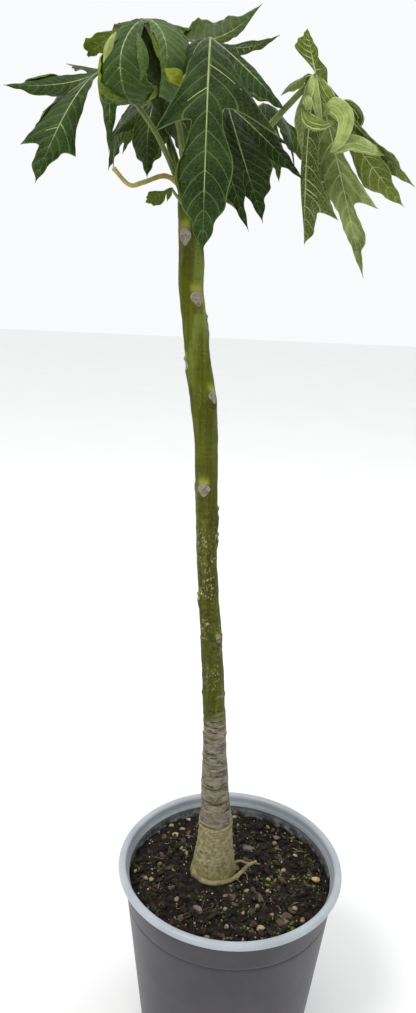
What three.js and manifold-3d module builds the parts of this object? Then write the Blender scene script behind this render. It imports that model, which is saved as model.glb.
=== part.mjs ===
// Papaya tree in a nursery pot.
// Millimetres, +Z up. The origin is the centre of the pot's flat underside.

import * as THREE from 'three';
import { mergeVertices } from 'three/addons/utils/BufferGeometryUtils.js';
import Module from 'manifold-3d';

const wasm = await Module();
wasm.setup();

const DEG = Math.PI / 180;

// ---------------------------------------------------------------- sizes

const GAP = 0.3;                 // clearance between pieces that touch

const RIM_HEIGHT = 240;
const RIM_RADIUS = 140;
const RIM_DEPTH = 8;             // height of the rolled rim
const RIM_WIDTH = 10;            // how far the roll reaches in from its outer edge
const BASE_RADIUS = 106;
const WALL_TAPER = 0.115;        // widening of the wall for each millimetre of height
const WALL = 3;
const FLOOR = 4;
const GROOVE_HEIGHT = 195;
const GROOVE_DEPTH = 0.8;
const LEDGE_HEIGHT = 226;
const LEDGE_WIDTH = 2.5;
const POT_SIDES = 40;

const DRAIN_HOLES = 8;
const DRAIN_RADIUS = 7;
const DRAIN_CIRCLE = 84;

const SOIL_LEVEL = 212;
const SOIL_MOUND = 3;            // rise of the soil towards the middle
const SOIL_SEAT_RADIUS = 72;     // flat patch that carries the trunk

const TRUNK_Y = 5;
const TRUNK_SIDES = 16;
// Height, X of the centreline and diameter, from the soil to the growing tip.
const TRUNK_STATIONS = [
  [222, -21, 55],
  [241, -20, 50],
  [258, -20, 45],
  [282, -20, 42],
  [322, -22, 35],
  [360, -25, 32],
  [399, -26, 28],
  [473, -31, 26],
  [543, -37, 24.5],
  [625, -45, 23],
  [705, -49, 24.5],
  [770, -52, 25],
  [819, -57, 29],
  [858, -64, 26.5],
  [936, -75, 26],
  [959, -75, 27],
  [989, -77, 24],
  [1017, -81, 20],
  [1030, -83, 16],
  [1038, -84, 7],
];
// Roots that ridge out over the soil: direction, reach from the trunk's axis, height.
const ROOTS = [
  [8, 44, 8],
  [118, 38, 14],
  [204, 40, 9],
  [300, 34, 9],
];
const ROOT_SHARPNESS = 9;

const STALK_SIDES = 8;
const STALK_STEPS = 4;
const STALK_TAPER = 0.75;        // radius at the leaf, as a share of that at the trunk
const BLADE_THICKNESS = 2.3;

// ---------------------------------------------------------------- leaf sizes

const RIB_SLANT = 48;            // angle between a lobe's midrib and its ribs
const WEB_STEP = 0.52;           // station of a web rib, as a share of its reach
const WEB_RIBS = 3;
const LOBE_CHORD = 0.94;         // straight length of a bent lobe, as a share of its length
const CURVE_STEPS = 24;
const PLAIN_STATIONS = [0.5];    // stations that every lobe has beside its outline's own
const CURL_STATIONS = [0.42, 0.5, 0.58, 0.66, 0.76, 0.86];
const NEAREST_STATIONS = 0.04;   // closest spacing of stations, as a share of the length

// Lobe outlines, from the leaf's centre to the lobe's tip: station on the midrib and reach
// of the rib there, both as shares of the lobe's length. 'tip' ends a side lobe in a point.
const OUTLINES = {
  lance: [[0, 0.05], [0.36, 0.17], [0.62, 0.11], [0.82, 0.04], [1, 0]],
  slim: [[0, 0.04], [0.38, 0.12], [0.64, 0.07], [0.84, 0.03], [1, 0]],
  spoon: [[0, 0.03], [0.35, 0.05], [0.62, 0.14], [0.82, 0.06], [1, 0]],
  broad: [[0, 0.1], [0.38, 0.28], [0.6, 0.2], [0.8, 0.08], [1, 0]],
  blunt: [[0, 0.12], [0.3, 0.34], [0.7, 0.36], [0.93, 0.2], [1, 0]],
  half: [[0, 0.02], [0.5, 0.04], [1, 0]],
  notched: [[0, 0.06], [0.22, 0.1], [0.4, 0.12], [0.57, 0.22, 'tip'], [0.7, 0.1],
    [0.84, 0.05], [1, 0]],
  winged: [[0, 0.04], [0.06, 0.16], [0.15, 0.44, 'tip'], [0.29, 0.1], [0.34, 0.1],
    [0.5, 0.2], [0.68, 0.15], [0.85, 0.06], [1, 0]],
  draped: [[0, 0.04], [0.1, 0.1], [0.24, 0.3, 'tip'], [0.33, 0.1], [0.37, 0.12],
    [0.5, 0.2], [0.68, 0.15], [0.85, 0.06], [1, 0]],
  antler: [[0, 0.05], [0.2, 0.12], [0.4, 0.22], [0.6, 0.29, 'tip'], [0.7, 0.1],
    [0.8, 0.1], [1, 0]],
  late: [[0, 0.05], [0.4, 0.09], [0.63, 0.27, 'tip'], [0.72, 0.1], [0.84, 0.08], [1, 0]],
  armed: [[0, 0.04], [0.3, 0.06], [0.45, 0.28, 'tip'], [0.58, 0.07], [0.7, 0.12],
    [0.84, 0.05], [1, 0]],
};

// A leaf: the centre where its lobes meet, the way its upper side leans (compass direction
// and tilt), the way it heads, how far the web between lobes reaches, and its stalk.
// A lobe: its turn from the leaf's heading, length, and the direction and dip of its chord.
// sag lowers its middle, roll turns its tip about the chord and curl bends its end down.
// web says how many of the ribs are joined to the next lobe, where not all of them are.
const LEAVES = [
  {
    name: 'front_leaf',
    centre: [-62, -100, 1136],
    lean: [270, 25],
    heading: 270,
    spring: 0.3,
    fold: 0.12,
    web: 22,
    stalk: { height: 1006, radius: 3.4, bend: 0.3, rise: 0.6 },
    lobes: [
      { turn: -140, length: 56, heading: 103, dip: 12, left: 'lance' },
      { turn: -75, length: 55, heading: -138, dip: 60, left: 'broad' },
      { turn: 0, length: 194, heading: -89, dip: 74, left: 'winged', right: 'draped' },
      { turn: 62, length: 96, heading: -17, dip: 40, sag: 0.12, roll: 51, left: 'slim', right: 'broad' },
      { turn: 105, length: 79, heading: 33, dip: -12, sag: 0.2, roll: -30, left: 'lance' },
    ],
  },
  {
    name: 'top_left_leaf',
    centre: [-121, -60, 1159],
    lean: [250, 20],
    heading: 250,
    spring: 0.42,
    fold: 0.25,
    web: 28,
    stalk: { height: 1016, radius: 3.2, bend: 0.3, rise: 0.75 },
    lobes: [
      { turn: -134, length: 130, heading: 104, dip: -3, left: 'lance' },
      { turn: -90, length: 92, heading: 135, dip: 12, sag: 0.1, left: 'broad' },
      { turn: -40, length: 56, heading: -164, dip: 46, left: 'lance', web: 2 },
      { turn: 0, length: 123, heading: -104, dip: 46, curl: 110, left: 'blunt', wide: 0.8, web: 2 },
      { turn: 48, length: 109, heading: -67, dip: 40, curl: 90, left: 'blunt', right: 'slim', wide: 0.85 },
      { turn: 95, length: 60, heading: 22, dip: 30, left: 'broad' },
      { turn: 130, length: 147, heading: 37, dip: -17, sag: 0.32, roll: 40, left: 'lance', right: 'half' },
      { turn: 165, length: 130, heading: 71, dip: -8, sag: 0.1, left: 'lance' },
    ],
  },
  {
    name: 'far_left_leaf',
    centre: [-166, -10, 1129],
    lean: [200, 35],
    heading: 200,
    spring: 0.42,
    fold: 0.15,
    web: 24,
    stalk: { height: 990, radius: 3, bend: 0.3, rise: 0.72 },
    lobes: [
      { turn: -110, length: 72, heading: 131, dip: -13, left: 'broad' },
      { turn: -60, length: 101, heading: -167, dip: 13, roll: -60, left: 'lance', wide: 1.1 },
      { turn: -10, length: 79, heading: 162, dip: 29, roll: -50, left: 'broad' },
      { turn: 40, length: 141, heading: -138, dip: 56, roll: -38, left: 'notched', right: 'antler' },
      { turn: 90, length: 109, heading: -76, dip: 53, left: 'slim' },
    ],
  },
  {
    name: 'inner_right_leaf',
    centre: [-45, -46, 1095],
    lean: [300, 40],
    heading: 290,
    spring: 0.3,
    fold: 0.25,
    web: 26,
    stalk: { height: 1020, radius: 2.8, bend: 0.3, rise: 0.6 },
    lobes: [
      { turn: -90, length: 90, heading: -92, dip: 64, left: 'lance' },
      { turn: -40, length: 129, heading: -59, dip: 67, roll: 25, left: 'lance' },
      { turn: 0, length: 121, heading: -39, dip: 65, roll: 46, left: 'broad', right: 'lance' },
      { turn: 50, length: 104, heading: -8, dip: 40, roll: 66, left: 'lance' },
      { turn: 100, length: 71, heading: -12, dip: 30, roll: 55, left: 'lance' },
    ],
  },
  {
    name: 'inner_left_leaf',
    centre: [-112, 45, 1121],
    lean: [200, 25],
    heading: 230,
    spring: 0.3,
    fold: 0.25,
    web: 22,
    stalk: { height: 1016, radius: 2.8, bend: 0.8, rise: 0.4 },
    lobes: [
      { turn: -70, length: 73, heading: 180, dip: 40, roll: -50, left: 'lance', wide: 1.3 },
      { turn: 0, length: 96, heading: -110, dip: 69, left: 'broad' },
      { turn: 70, length: 84, heading: -34, dip: 63, left: 'broad' },
    ],
  },
  {
    name: 'right_leaf',
    centre: [33, -60, 1120],
    lean: [110, 65],
    heading: 100,
    spring: 0.3,
    fold: 0.25,
    web: 34,
    stalk: { height: 998, radius: 3.6, bend: 0.5, rise: 0.56 },
    lobes: [
      { turn: -188, length: 41, heading: -150, dip: -70, left: 'slim', right: 'broad', web: 1 },
      { turn: -46, length: 149, heading: 16, dip: 38, sag: 0.12, roll: -10, left: 'spoon' },
      { turn: -30, length: 159, heading: 22, dip: 44, sag: 0.1, roll: -40, left: 'spoon', wide: 0.9 },
      { turn: -11, length: 207, heading: 41, dip: 62, left: 'slim', right: 'armed' },
      { turn: 20, length: 165, heading: 84, dip: 67, left: 'half', right: 'late' },
      { turn: 48, length: 89, heading: 91, dip: 44, left: 'slim', web: 1 },
      { turn: 120, length: 46, heading: -148, dip: 30, left: 'lance' },
    ],
  },
  {
    name: 'small_leaf',
    centre: [-97, -14, 1026],
    lean: [230, 40],
    heading: 215,
    spring: 0.35,
    fold: 0.2,
    web: 9,
    stalk: { height: 1002, radius: 1.8, bend: 0.5, rise: 0.6 },
    lobes: [
      { turn: -45, length: 22, heading: 190, dip: 35, left: 'lance' },
      { turn: 0, length: 34, heading: -150, dip: 30, roll: -50, left: 'broad', wide: 1.35 },
      { turn: 45, length: 22, heading: -100, dip: 45, left: 'lance' },
    ],
  },
];

// Leaves of the far side, whose lobes follow one rule.
const BACK_LEAVES = [
  { name: 'back_left_leaf', centre: [-134, 100, 1128], heading: 156, size: 94, seed: 1, height: 984 },
  { name: 'back_leaf', centre: [-62, 134, 1160], heading: 86, size: 138, seed: 2, height: 1004 },
  { name: 'back_right_leaf', centre: [-6, 86, 1124], heading: 24, size: 100, seed: 3, height: 992 },
  { name: 'young_leaf', centre: [-76, 40, 1146], heading: 300, size: 58, seed: 5, height: 1008 },
];
const BACK_LOBES = 7;
const BACK_LOBE_TURN = 38;
const BACK_DIP = 57;
const BACK_SHORTENING = 0.0035;  // share of length lost for each degree of turn
const BACK_LEAN = 15;

// A bare yellow stalk whose blade has dropped.
const BARE_STALK = [
  [-76, 5, 1012],
  [-90, -4, 1030],
  [-104, -10, 1037],
  [-124, -20, 1029],
  [-137, -25, 1026],
  [-152, -30, 1040],
];
const BARE_STALK_RADIUS = 2.9;

// ---------------------------------------------------------------- colours

const COLOURS = {
  pot: 0x565559,
  soil: 0x2e2620,
  trunk: 0x5c5c38,
  stalk: 0x8a9a4c,
  leaf: 0x37442b,
  pale_leaf: 0x7a8848,
  bare_stalk: 0xb9a862,
};

// ---------------------------------------------------------------- small helpers

const vec = (x, y, z) => new THREE.Vector3(x, y, z);
const lerp = THREE.MathUtils.lerp;
const smooth = (x) => THREE.MathUtils.smoothstep(x, 0, 1);

// Direction of a compass heading (degrees from +X towards +Y) that dips below the horizon.
function direction(heading, dip) {
  const flat = Math.cos(dip * DEG);
  return vec(Math.cos(heading * DEG) * flat, Math.sin(heading * DEG) * flat, -Math.sin(dip * DEG));
}

// A repeatable number from 0 to 1.
function chance(seed) {
  const value = Math.sin(seed * 12.9898) * 43758.5453;
  return value - Math.floor(value);
}

function toManifold(geometry) {
  const bare = geometry.clone();
  bare.deleteAttribute('normal');
  bare.deleteAttribute('uv');
  const merged = mergeVertices(bare, 1e-4);
  const vertProperties = new Float32Array(merged.attributes.position.array);
  const triVerts = new Uint32Array(merged.index.array);
  return new wasm.Manifold(new wasm.Mesh({ numProp: 3, vertProperties, triVerts }));
}

function toGeometry(solid) {
  const mesh = solid.getMesh();
  const geometry = new THREE.BufferGeometry();
  geometry.setAttribute('position', new THREE.BufferAttribute(new Float32Array(mesh.vertProperties), 3));
  geometry.setIndex(new THREE.BufferAttribute(new Uint32Array(mesh.triVerts), 1));
  geometry.computeVertexNormals();
  return geometry;
}

// Largest connected piece of a solid: scraps that a cut leaves are dropped.
function largestPiece(solid) {
  const pieces = solid.decompose();
  return pieces.reduce((best, piece) => (piece.volume() > best.volume() ? piece : best));
}

// Closed skin over rings of equal point counts, each ring turning anticlockwise as seen
// from the end of the row, with a fan of triangles on both ends.
function skin(rings) {
  const count = rings[0].length;
  const positions = [];
  const index = [];
  rings.forEach((ring) => ring.forEach((point) => positions.push(point.x, point.y, point.z)));
  for (let r = 0; r < rings.length - 1; r += 1) {
    for (let c = 0; c < count; c += 1) {
      const a = r * count + c;
      const b = r * count + ((c + 1) % count);
      index.push(a, b, b + count, a, b + count, a + count);
    }
  }
  [0, rings.length - 1].forEach((r) => {
    const hub = rings[r].reduce((sum, point) => sum.add(point), vec(0, 0, 0)).divideScalar(count);
    const hubIndex = positions.length / 3;
    positions.push(hub.x, hub.y, hub.z);
    for (let c = 0; c < count; c += 1) {
      const a = r * count + c;
      const b = r * count + ((c + 1) % count);
      if (r === 0) index.push(hubIndex, b, a);
      else index.push(hubIndex, a, b);
    }
  });
  const geometry = new THREE.BufferGeometry();
  geometry.setAttribute('position', new THREE.Float32BufferAttribute(positions, 3));
  geometry.setIndex(index);
  return geometry;
}

// Round limb along a list of points, with a radius for each point.
function limb(points, radii, sides) {
  const rings = points.map((point, i) => {
    const before = points[Math.max(i - 1, 0)];
    const after = points[Math.min(i + 1, points.length - 1)];
    const along = after.clone().sub(before).normalize();
    const side = vec(along.z, 0, -along.x).normalize();
    const front = along.clone().cross(side);
    return Array.from({ length: sides }, (_, k) => {
      const angle = (k / sides) * 2 * Math.PI;
      return point.clone()
        .addScaledVector(side, Math.cos(angle) * radii[i])
        .addScaledVector(front, Math.sin(angle) * radii[i]);
    });
  });
  return toManifold(skin(rings));
}

// ---------------------------------------------------------------- pot and soil

function wallRadius(height) {
  return BASE_RADIUS + WALL_TAPER * height;
}

function turnedProfile(points) {
  const profile = points.map(([radius, height]) => new THREE.Vector2(radius, height));
  const geometry = new THREE.LatheGeometry(profile, POT_SIDES);
  geometry.rotateX(Math.PI / 2);
  return toManifold(geometry);
}

function potSolid() {
  const rimFoot = RIM_HEIGHT - RIM_DEPTH;
  const rimInner = RIM_RADIUS - RIM_WIDTH;
  const profile = [
    [0, 0],
    [BASE_RADIUS - 2, 0],
    [BASE_RADIUS, 2],
    [wallRadius(GROOVE_HEIGHT - 1.5), GROOVE_HEIGHT - 1.5],
    [wallRadius(GROOVE_HEIGHT) - GROOVE_DEPTH, GROOVE_HEIGHT],
    [wallRadius(GROOVE_HEIGHT + 1.5), GROOVE_HEIGHT + 1.5],
    [wallRadius(rimFoot), rimFoot],
    [RIM_RADIUS - 1.5, rimFoot],
    [RIM_RADIUS, rimFoot + 3],
    [RIM_RADIUS, RIM_HEIGHT - 4],
    [RIM_RADIUS - 3, RIM_HEIGHT - 1],
    [RIM_RADIUS - RIM_WIDTH / 2, RIM_HEIGHT],
    [rimInner + 2, RIM_HEIGHT - 2],
    [rimInner, RIM_HEIGHT - 6],
    [rimInner, LEDGE_HEIGHT + 1],
    [wallRadius(LEDGE_HEIGHT) - WALL - LEDGE_WIDTH, LEDGE_HEIGHT],
    [wallRadius(LEDGE_HEIGHT - 4) - WALL, LEDGE_HEIGHT - 4],
    [wallRadius(FLOOR) - WALL, FLOOR],
    [0, FLOOR],
  ];
  let pot = turnedProfile(profile);
  for (let i = 0; i < DRAIN_HOLES; i += 1) {
    const angle = (i / DRAIN_HOLES) * 2 * Math.PI;
    const drill = new THREE.CylinderGeometry(DRAIN_RADIUS, DRAIN_RADIUS, FLOOR * 4, 16);
    drill.rotateX(Math.PI / 2);
    drill.translate(DRAIN_CIRCLE * Math.cos(angle), DRAIN_CIRCLE * Math.sin(angle), 0);
    pot = pot.subtract(toManifold(drill));
  }
  return pot;
}

function soilSolid() {
  const inner = (height) => wallRadius(height) - WALL - GAP;
  const top = SOIL_LEVEL + SOIL_MOUND;
  return turnedProfile([
    [0, FLOOR + GAP],
    [inner(FLOOR + GAP) - 0.1, FLOOR + GAP],
    [inner(SOIL_LEVEL), SOIL_LEVEL],
    [SOIL_SEAT_RADIUS, top],
    [0, top],
  ]);
}

// ---------------------------------------------------------------- trunk

const TRUNK_FOOT = SOIL_LEVEL + SOIL_MOUND + GAP;

// Centreline and radius of the trunk at a height, between its stations.
function trunkAt(height) {
  const last = TRUNK_STATIONS.length - 1;
  let i = 0;
  while (i < last - 1 && TRUNK_STATIONS[i + 1][0] < height) i += 1;
  const [lowHeight, lowX, lowDiameter] = TRUNK_STATIONS[i];
  const [highHeight, highX, highDiameter] = TRUNK_STATIONS[i + 1];
  const share = THREE.MathUtils.clamp((height - lowHeight) / (highHeight - lowHeight), 0, 1);
  return {
    axis: vec(lerp(lowX, highX, share), TRUNK_Y, height),
    radius: lerp(lowDiameter, highDiameter, share) / 2,
  };
}

function trunkSolid(extra) {
  const heights = [TRUNK_FOOT - extra, 228, 234, ...TRUNK_STATIONS.slice(1).map(([height]) => height)];
  const rings = heights.map((height, i) => {
    const { axis, radius } = trunkAt(height);
    const rise = height - TRUNK_FOOT;
    const isTop = i === heights.length - 1;
    return Array.from({ length: TRUNK_SIDES }, (_, k) => {
      const angle = (k / TRUNK_SIDES) * 2 * Math.PI;
      const reach = ROOTS.reduce((most, [toward, length, tall]) => {
        const facing = Math.max(0, Math.cos(angle - toward * DEG)) ** ROOT_SHARPNESS;
        return most + (length - radius) * facing * Math.exp(-((rise / tall) ** 2));
      }, radius + extra);
      return axis.clone().add(vec(Math.cos(angle) * reach, Math.sin(angle) * reach, isTop ? extra : 0));
    });
  });
  return toManifold(skin(rings));
}

// ---------------------------------------------------------------- stalks

// Centre of a leaf's stalk: from the trunk's axis, rising and then bending out to the leaf.
function stalkPoints(leaf) {
  const start = trunkAt(leaf.stalk.height).axis;
  const underside = direction(leaf.lean[0], leaf.lean[1] - 90).multiplyScalar(-BLADE_THICKNESS / 2 - GAP);
  const end = vec(...leaf.centre).add(underside);
  const bend = start.clone().lerp(end, leaf.stalk.bend);
  bend.z = lerp(start.z, end.z, leaf.stalk.rise);
  return new THREE.QuadraticBezierCurve3(start, bend, end).getPoints(STALK_STEPS);
}

function stalkSolid(leaf, extra) {
  const points = stalkPoints(leaf);
  const { radius } = leaf.stalk;
  const radii = points.map((_, i) => lerp(radius, radius * STALK_TAPER, i / STALK_STEPS) + extra);
  return limb(points, radii, STALK_SIDES);
}

function bareStalkSolid(extra) {
  const points = BARE_STALK.map((point) => vec(...point));
  return limb(points, points.map(() => BARE_STALK_RADIUS + extra), STALK_SIDES);
}

// ---------------------------------------------------------------- leaves

// Reach of a rib at a station of an outline, as a share of the lobe's length.
function outlineReach(outline, station) {
  for (let i = 0; i < outline.length - 1; i += 1) {
    const [from, low, fromTip] = outline[i];
    const [to, high, toTip] = outline[i + 1];
    if (station <= to) {
      const share = (station - from) / (to - from);
      if (toTip) return lerp(low, high, share ** 1.7);
      if (fromTip) return lerp(high, low, (1 - share) ** 1.7);
      return lerp(low, high, smooth(share));
    }
  }
  return 0;
}

// The midrib of a lobe in space: points, directions and upward normals along it.
function lobeCurve(leaf, lobe) {
  const normal = direction(leaf.lean[0], leaf.lean[1] - 90);
  const level = direction(leaf.heading, 0);
  const forward = level.addScaledVector(normal, -level.dot(normal)).normalize();
  const start = forward.applyAxisAngle(normal, lobe.turn * DEG);
  const chord = direction(lobe.heading, lobe.dip);
  const tipNormal = direction(lobe.heading, lobe.dip - 90).applyAxisAngle(chord, (lobe.roll ?? 0) * DEG);
  const origin = vec(...leaf.centre);
  const bend = origin.clone().addScaledVector(start, lobe.length * leaf.spring);
  bend.z -= lobe.length * (lobe.sag ?? 0);
  const curve = new THREE.QuadraticBezierCurve3(
    origin,
    bend,
    origin.clone().addScaledVector(chord, lobe.length * LOBE_CHORD),
  );
  const points = [];
  const alongs = [];
  const normals = [];
  for (let i = 0; i <= CURVE_STEPS; i += 1) {
    const share = i / CURVE_STEPS;
    const along = curve.getTangent(share).normalize();
    const turnOver = smooth(share * 1.6);
    const up = normal.clone().lerp(tipNormal, turnOver);
    up.addScaledVector(along, -up.dot(along)).normalize();
    const curl = (lobe.curl ?? 0) * DEG * smooth((share - 0.5) / 0.5);
    alongs.push(along.clone().multiplyScalar(Math.cos(curl)).addScaledVector(up, -Math.sin(curl)));
    normals.push(up.clone().multiplyScalar(Math.cos(curl)).addScaledVector(along, Math.sin(curl)));
    points.push(curve.getPoint(share));
  }
  const steps = points.slice(1).map((point, i) => point.distanceTo(points[i]));
  for (let i = 1; i <= CURVE_STEPS; i += 1) {
    const course = alongs[i - 1].clone().add(alongs[i]).normalize();
    points[i] = points[i - 1].clone().addScaledVector(course, steps[i - 1]);
  }
  const total = steps.reduce((sum, step) => sum + step, 0);
  return { points, alongs, normals, steps, total };
}

// Place in space of a flat point: x along the lobe's midrib, y to its left, lift above it.
function lobePoint(lobe, x, y, lift) {
  const { points, alongs, normals, steps, total } = lobe.curve;
  const travel = (x * total) / lobe.length;
  let i = 0;
  let rest = travel;
  while (i < steps.length - 1 && rest > steps[i]) {
    rest -= steps[i];
    i += 1;
  }
  const share = THREE.MathUtils.clamp(rest / steps[i], 0, 1);
  const beyond = rest - share * steps[i];
  const along = alongs[i].clone().lerp(alongs[i + 1], share).normalize();
  const up = normals[i].clone().lerp(normals[i + 1], share).normalize();
  const side = up.clone().cross(along).normalize();
  return points[i].clone().lerp(points[i + 1], share)
    .addScaledVector(along, beyond)
    .addScaledVector(side, y)
    .addScaledVector(up, lift);
}

// One end of a rib of a lobe, in space. Inside the web it reaches the line that halves the
// angle to the next lobe; past the web it follows the lobe's own outline.
function ribEnd(leaf, index, side, x, extra) {
  const lobe = leaf.lobes[index];
  const near = leaf.lobes[index + side];
  const outline = OUTLINES[side > 0 ? lobe.left : (lobe.right ?? lobe.left)];
  const station = Math.min(x / lobe.length, 1);
  const reach = outlineReach(outline, station) * lobe.length * (lobe.wide ?? 1) + extra;
  let forward = reach * Math.cos(RIB_SLANT * DEG);
  let sideways = reach * Math.sin(RIB_SLANT * DEG);
  let webReach = leaf.web;
  let half = 0;
  if (near) {
    half = (Math.abs(near.turn - lobe.turn) / 2) * DEG;
    webReach *= ((side > 0 ? lobe.web : near.web) ?? WEB_RIBS) / WEB_RIBS;
    const webStation = WEB_STEP * webReach;
    if (x <= webStation + 0.001) {
      const radius = x / WEB_STEP;
      forward = radius * Math.cos(half) - x;
      sideways = radius * Math.sin(half);
    } else {
      const free = smooth((x - webStation) / (0.4 * webReach));
      forward = lerp(webReach * Math.cos(half) - webStation, forward, free);
      sideways = lerp(webReach * Math.sin(half), sideways, free);
    }
  } else {
    const free = smooth(x / (WEB_STEP * webReach));
    forward *= free;
    sideways *= free;
  }
  const flatX = x + forward;
  const fall = -leaf.fold * Math.hypot(forward, sideways)
    * THREE.MathUtils.clamp(x / (1.2 * leaf.web), 0, 1);
  const own = lobePoint(lobe, flatX, side * sideways, fall);
  if (!near) return own;
  const radius = Math.hypot(flatX, sideways);
  const angle = Math.atan2(sideways, flatX);
  const share = Math.min(smooth(angle / (2 * half)), 0.5) * (1 - smooth((radius / webReach - 1) / 0.5));
  const across = 2 * half - angle;
  const other = lobePoint(near, radius * Math.cos(across), -side * radius * Math.sin(across), fall);
  return own.lerp(other, share);
}

// Stations along a lobe: the centre, the ribs of the web, and its outline's own stations.
function lobeStations(leaf, lobe, extra) {
  const web = WEB_STEP * leaf.web;
  const stations = Array.from({ length: WEB_RIBS + 1 }, (_, i) => (web * i) / WEB_RIBS);
  const keys = [OUTLINES[lobe.left], OUTLINES[lobe.right ?? lobe.left]].flat().map(([at]) => at);
  const steps = lobe.curl ? CURL_STATIONS : PLAIN_STATIONS;
  const wanted = [...keys, ...steps].map((at) => at * lobe.length).sort((a, b) => a - b);
  wanted.forEach((at) => {
    const last = stations[stations.length - 1];
    if (at > last + NEAREST_STATIONS * lobe.length) stations.push(at);
  });
  stations[stations.length - 1] = lobe.length + extra;
  return stations;
}

// The blade's middle surface: for each lobe a strip of faces on both sides of its midrib.
// Neighbouring lobes share the points of the web between them.
function bladeSheet(leaf, extra) {
  const corners = [];
  leaf.lobes.forEach((lobe, index) => {
    const rows = lobeStations(leaf, lobe, extra).map((x) => [
      ribEnd(leaf, index, 1, x, extra),
      lobePoint(lobe, x, 0, 0),
      ribEnd(leaf, index, -1, x, extra),
    ]);
    for (let r = 1; r < rows.length; r += 1) {
      for (let c = 0; c < 2; c += 1) {
        const [nearLeft, nearRight] = [rows[r - 1][c], rows[r - 1][c + 1]];
        const [farLeft, farRight] = [rows[r][c], rows[r][c + 1]];
        corners.push(nearLeft, nearRight, farRight, nearLeft, farRight, farLeft);
      }
    }
  });
  return new THREE.BufferGeometry().setFromPoints(corners);
}

// Closed solid of even thickness around a sheet: both faces, and a wall on each free edge.
function thicken(sheet, thickness) {
  const merged = mergeVertices(sheet, 1e-3);
  const faces = [];
  for (let i = 0; i < merged.index.count; i += 3) {
    const face = [0, 1, 2].map((k) => merged.index.getX(i + k));
    if (new Set(face).size === 3) faces.push(face);
  }
  merged.setIndex(faces.flat());
  merged.computeVertexNormals();
  const { position, normal } = merged.attributes;
  const positions = [1, -1].flatMap((way) => Array.from({ length: position.count }, (_, i) => {
    const point = new THREE.Vector3().fromBufferAttribute(position, i);
    const up = new THREE.Vector3().fromBufferAttribute(normal, i);
    return point.addScaledVector(up, (way * thickness) / 2).toArray();
  })).flat();
  const edges = new Set(faces.flatMap(([a, b, c]) => [`${a},${b}`, `${b},${c}`, `${c},${a}`]));
  const shift = position.count;
  const index = [...faces, ...faces.map(([a, b, c]) => [a + shift, c + shift, b + shift])];
  edges.forEach((edge) => {
    const [a, b] = edge.split(',').map(Number);
    if (edges.has(`${b},${a}`)) return;
    index.push([a, a + shift, b + shift], [a, b + shift, b]);
  });
  const geometry = new THREE.BufferGeometry();
  geometry.setAttribute('position', new THREE.Float32BufferAttribute(positions, 3));
  geometry.setIndex(index.flat());
  return toManifold(geometry);
}

function bladeSolid(leaf, thickness, extra) {
  return thicken(bladeSheet(leaf, extra), thickness);
}

function backLeaf({ name, centre, heading, size, seed, height }) {
  const lobes = Array.from({ length: BACK_LOBES }, (_, k) => {
    const turn = BACK_LOBE_TURN * (k - (BACK_LOBES - 1) / 2);
    const vary = (n) => chance(seed + 7.1 * k + n) - 0.5;
    return {
      turn,
      length: size * (1 - BACK_SHORTENING * Math.abs(turn)) * (1 + 0.2 * vary(1)),
      heading: heading + turn * 0.9 + 16 * vary(2),
      dip: BACK_DIP + 24 * vary(3),
      left: k % 2 ? 'broad' : 'notched',
      wide: 0.9,
    };
  });
  const stalk = { height, radius: 3, bend: 0.3, rise: 0.7 };
  const lean = [heading, BACK_LEAN];
  return { name, centre, lean, heading, spring: 0.4, fold: 0.2, web: 0.28 * size, stalk, lobes };
}

// ---------------------------------------------------------------- assembly

const group = new THREE.Group();
const placed = [];

function addMesh(name, solid, colour, roughness) {
  const material = new THREE.MeshStandardMaterial({ color: colour, roughness, metalness: 0 });
  const mesh = new THREE.Mesh(toGeometry(solid), material);
  mesh.name = name;
  group.add(mesh);
}

function boxesMeet(a, b) {
  const first = a.boundingBox();
  const second = b.boundingBox();
  return [0, 1, 2].every((i) => first.min[i] <= second.max[i] && second.min[i] <= first.max[i]);
}

// Cuts a solid clear of everything placed before it and adds it as a node.
function place(name, solid, grown, colour, roughness) {
  const near = placed.filter((other) => boxesMeet(solid, other));
  const clear = near.reduce((rest, other) => rest.subtract(other), solid);
  addMesh(name, largestPiece(clear), colour, roughness);
  placed.push(grown);
}

addMesh('pot', potSolid(), COLOURS.pot, 0.45);
addMesh('soil', soilSolid(), COLOURS.soil, 0.95);
place('trunk', trunkSolid(0), trunkSolid(GAP), COLOURS.trunk, 0.8);

const leaves = [...LEAVES, ...BACK_LEAVES.map(backLeaf)];
leaves.forEach((leaf) => {
  leaf.lobes.forEach((lobe) => {
    lobe.curve = lobeCurve(leaf, lobe);
  });
});

leaves.forEach((leaf) => {
  const blade = bladeSolid(leaf, BLADE_THICKNESS + 4 * GAP, GAP);
  const stalk = stalkSolid(leaf, 0).subtract(blade);
  place(`${leaf.name}_stalk`, stalk, stalkSolid(leaf, GAP).subtract(blade), COLOURS.stalk, 0.6);
});

place('bare_stalk', bareStalkSolid(0), bareStalkSolid(GAP), COLOURS.bare_stalk, 0.7);

leaves.forEach((leaf) => {
  const colour = leaf.name === 'right_leaf' ? COLOURS.pale_leaf : COLOURS.leaf;
  const grown = bladeSolid(leaf, BLADE_THICKNESS + 2 * GAP, GAP);
  place(leaf.name, bladeSolid(leaf, BLADE_THICKNESS, 0), grown, colour, 0.55);
});

export default group;
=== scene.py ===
# Papaya tree in a nursery pot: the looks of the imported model.
# Shapes are worked out in millimetres, in the CAD's frame, and made in metres.

import math

import bpy
import numpy as np
from mathutils import Matrix, Vector


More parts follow.
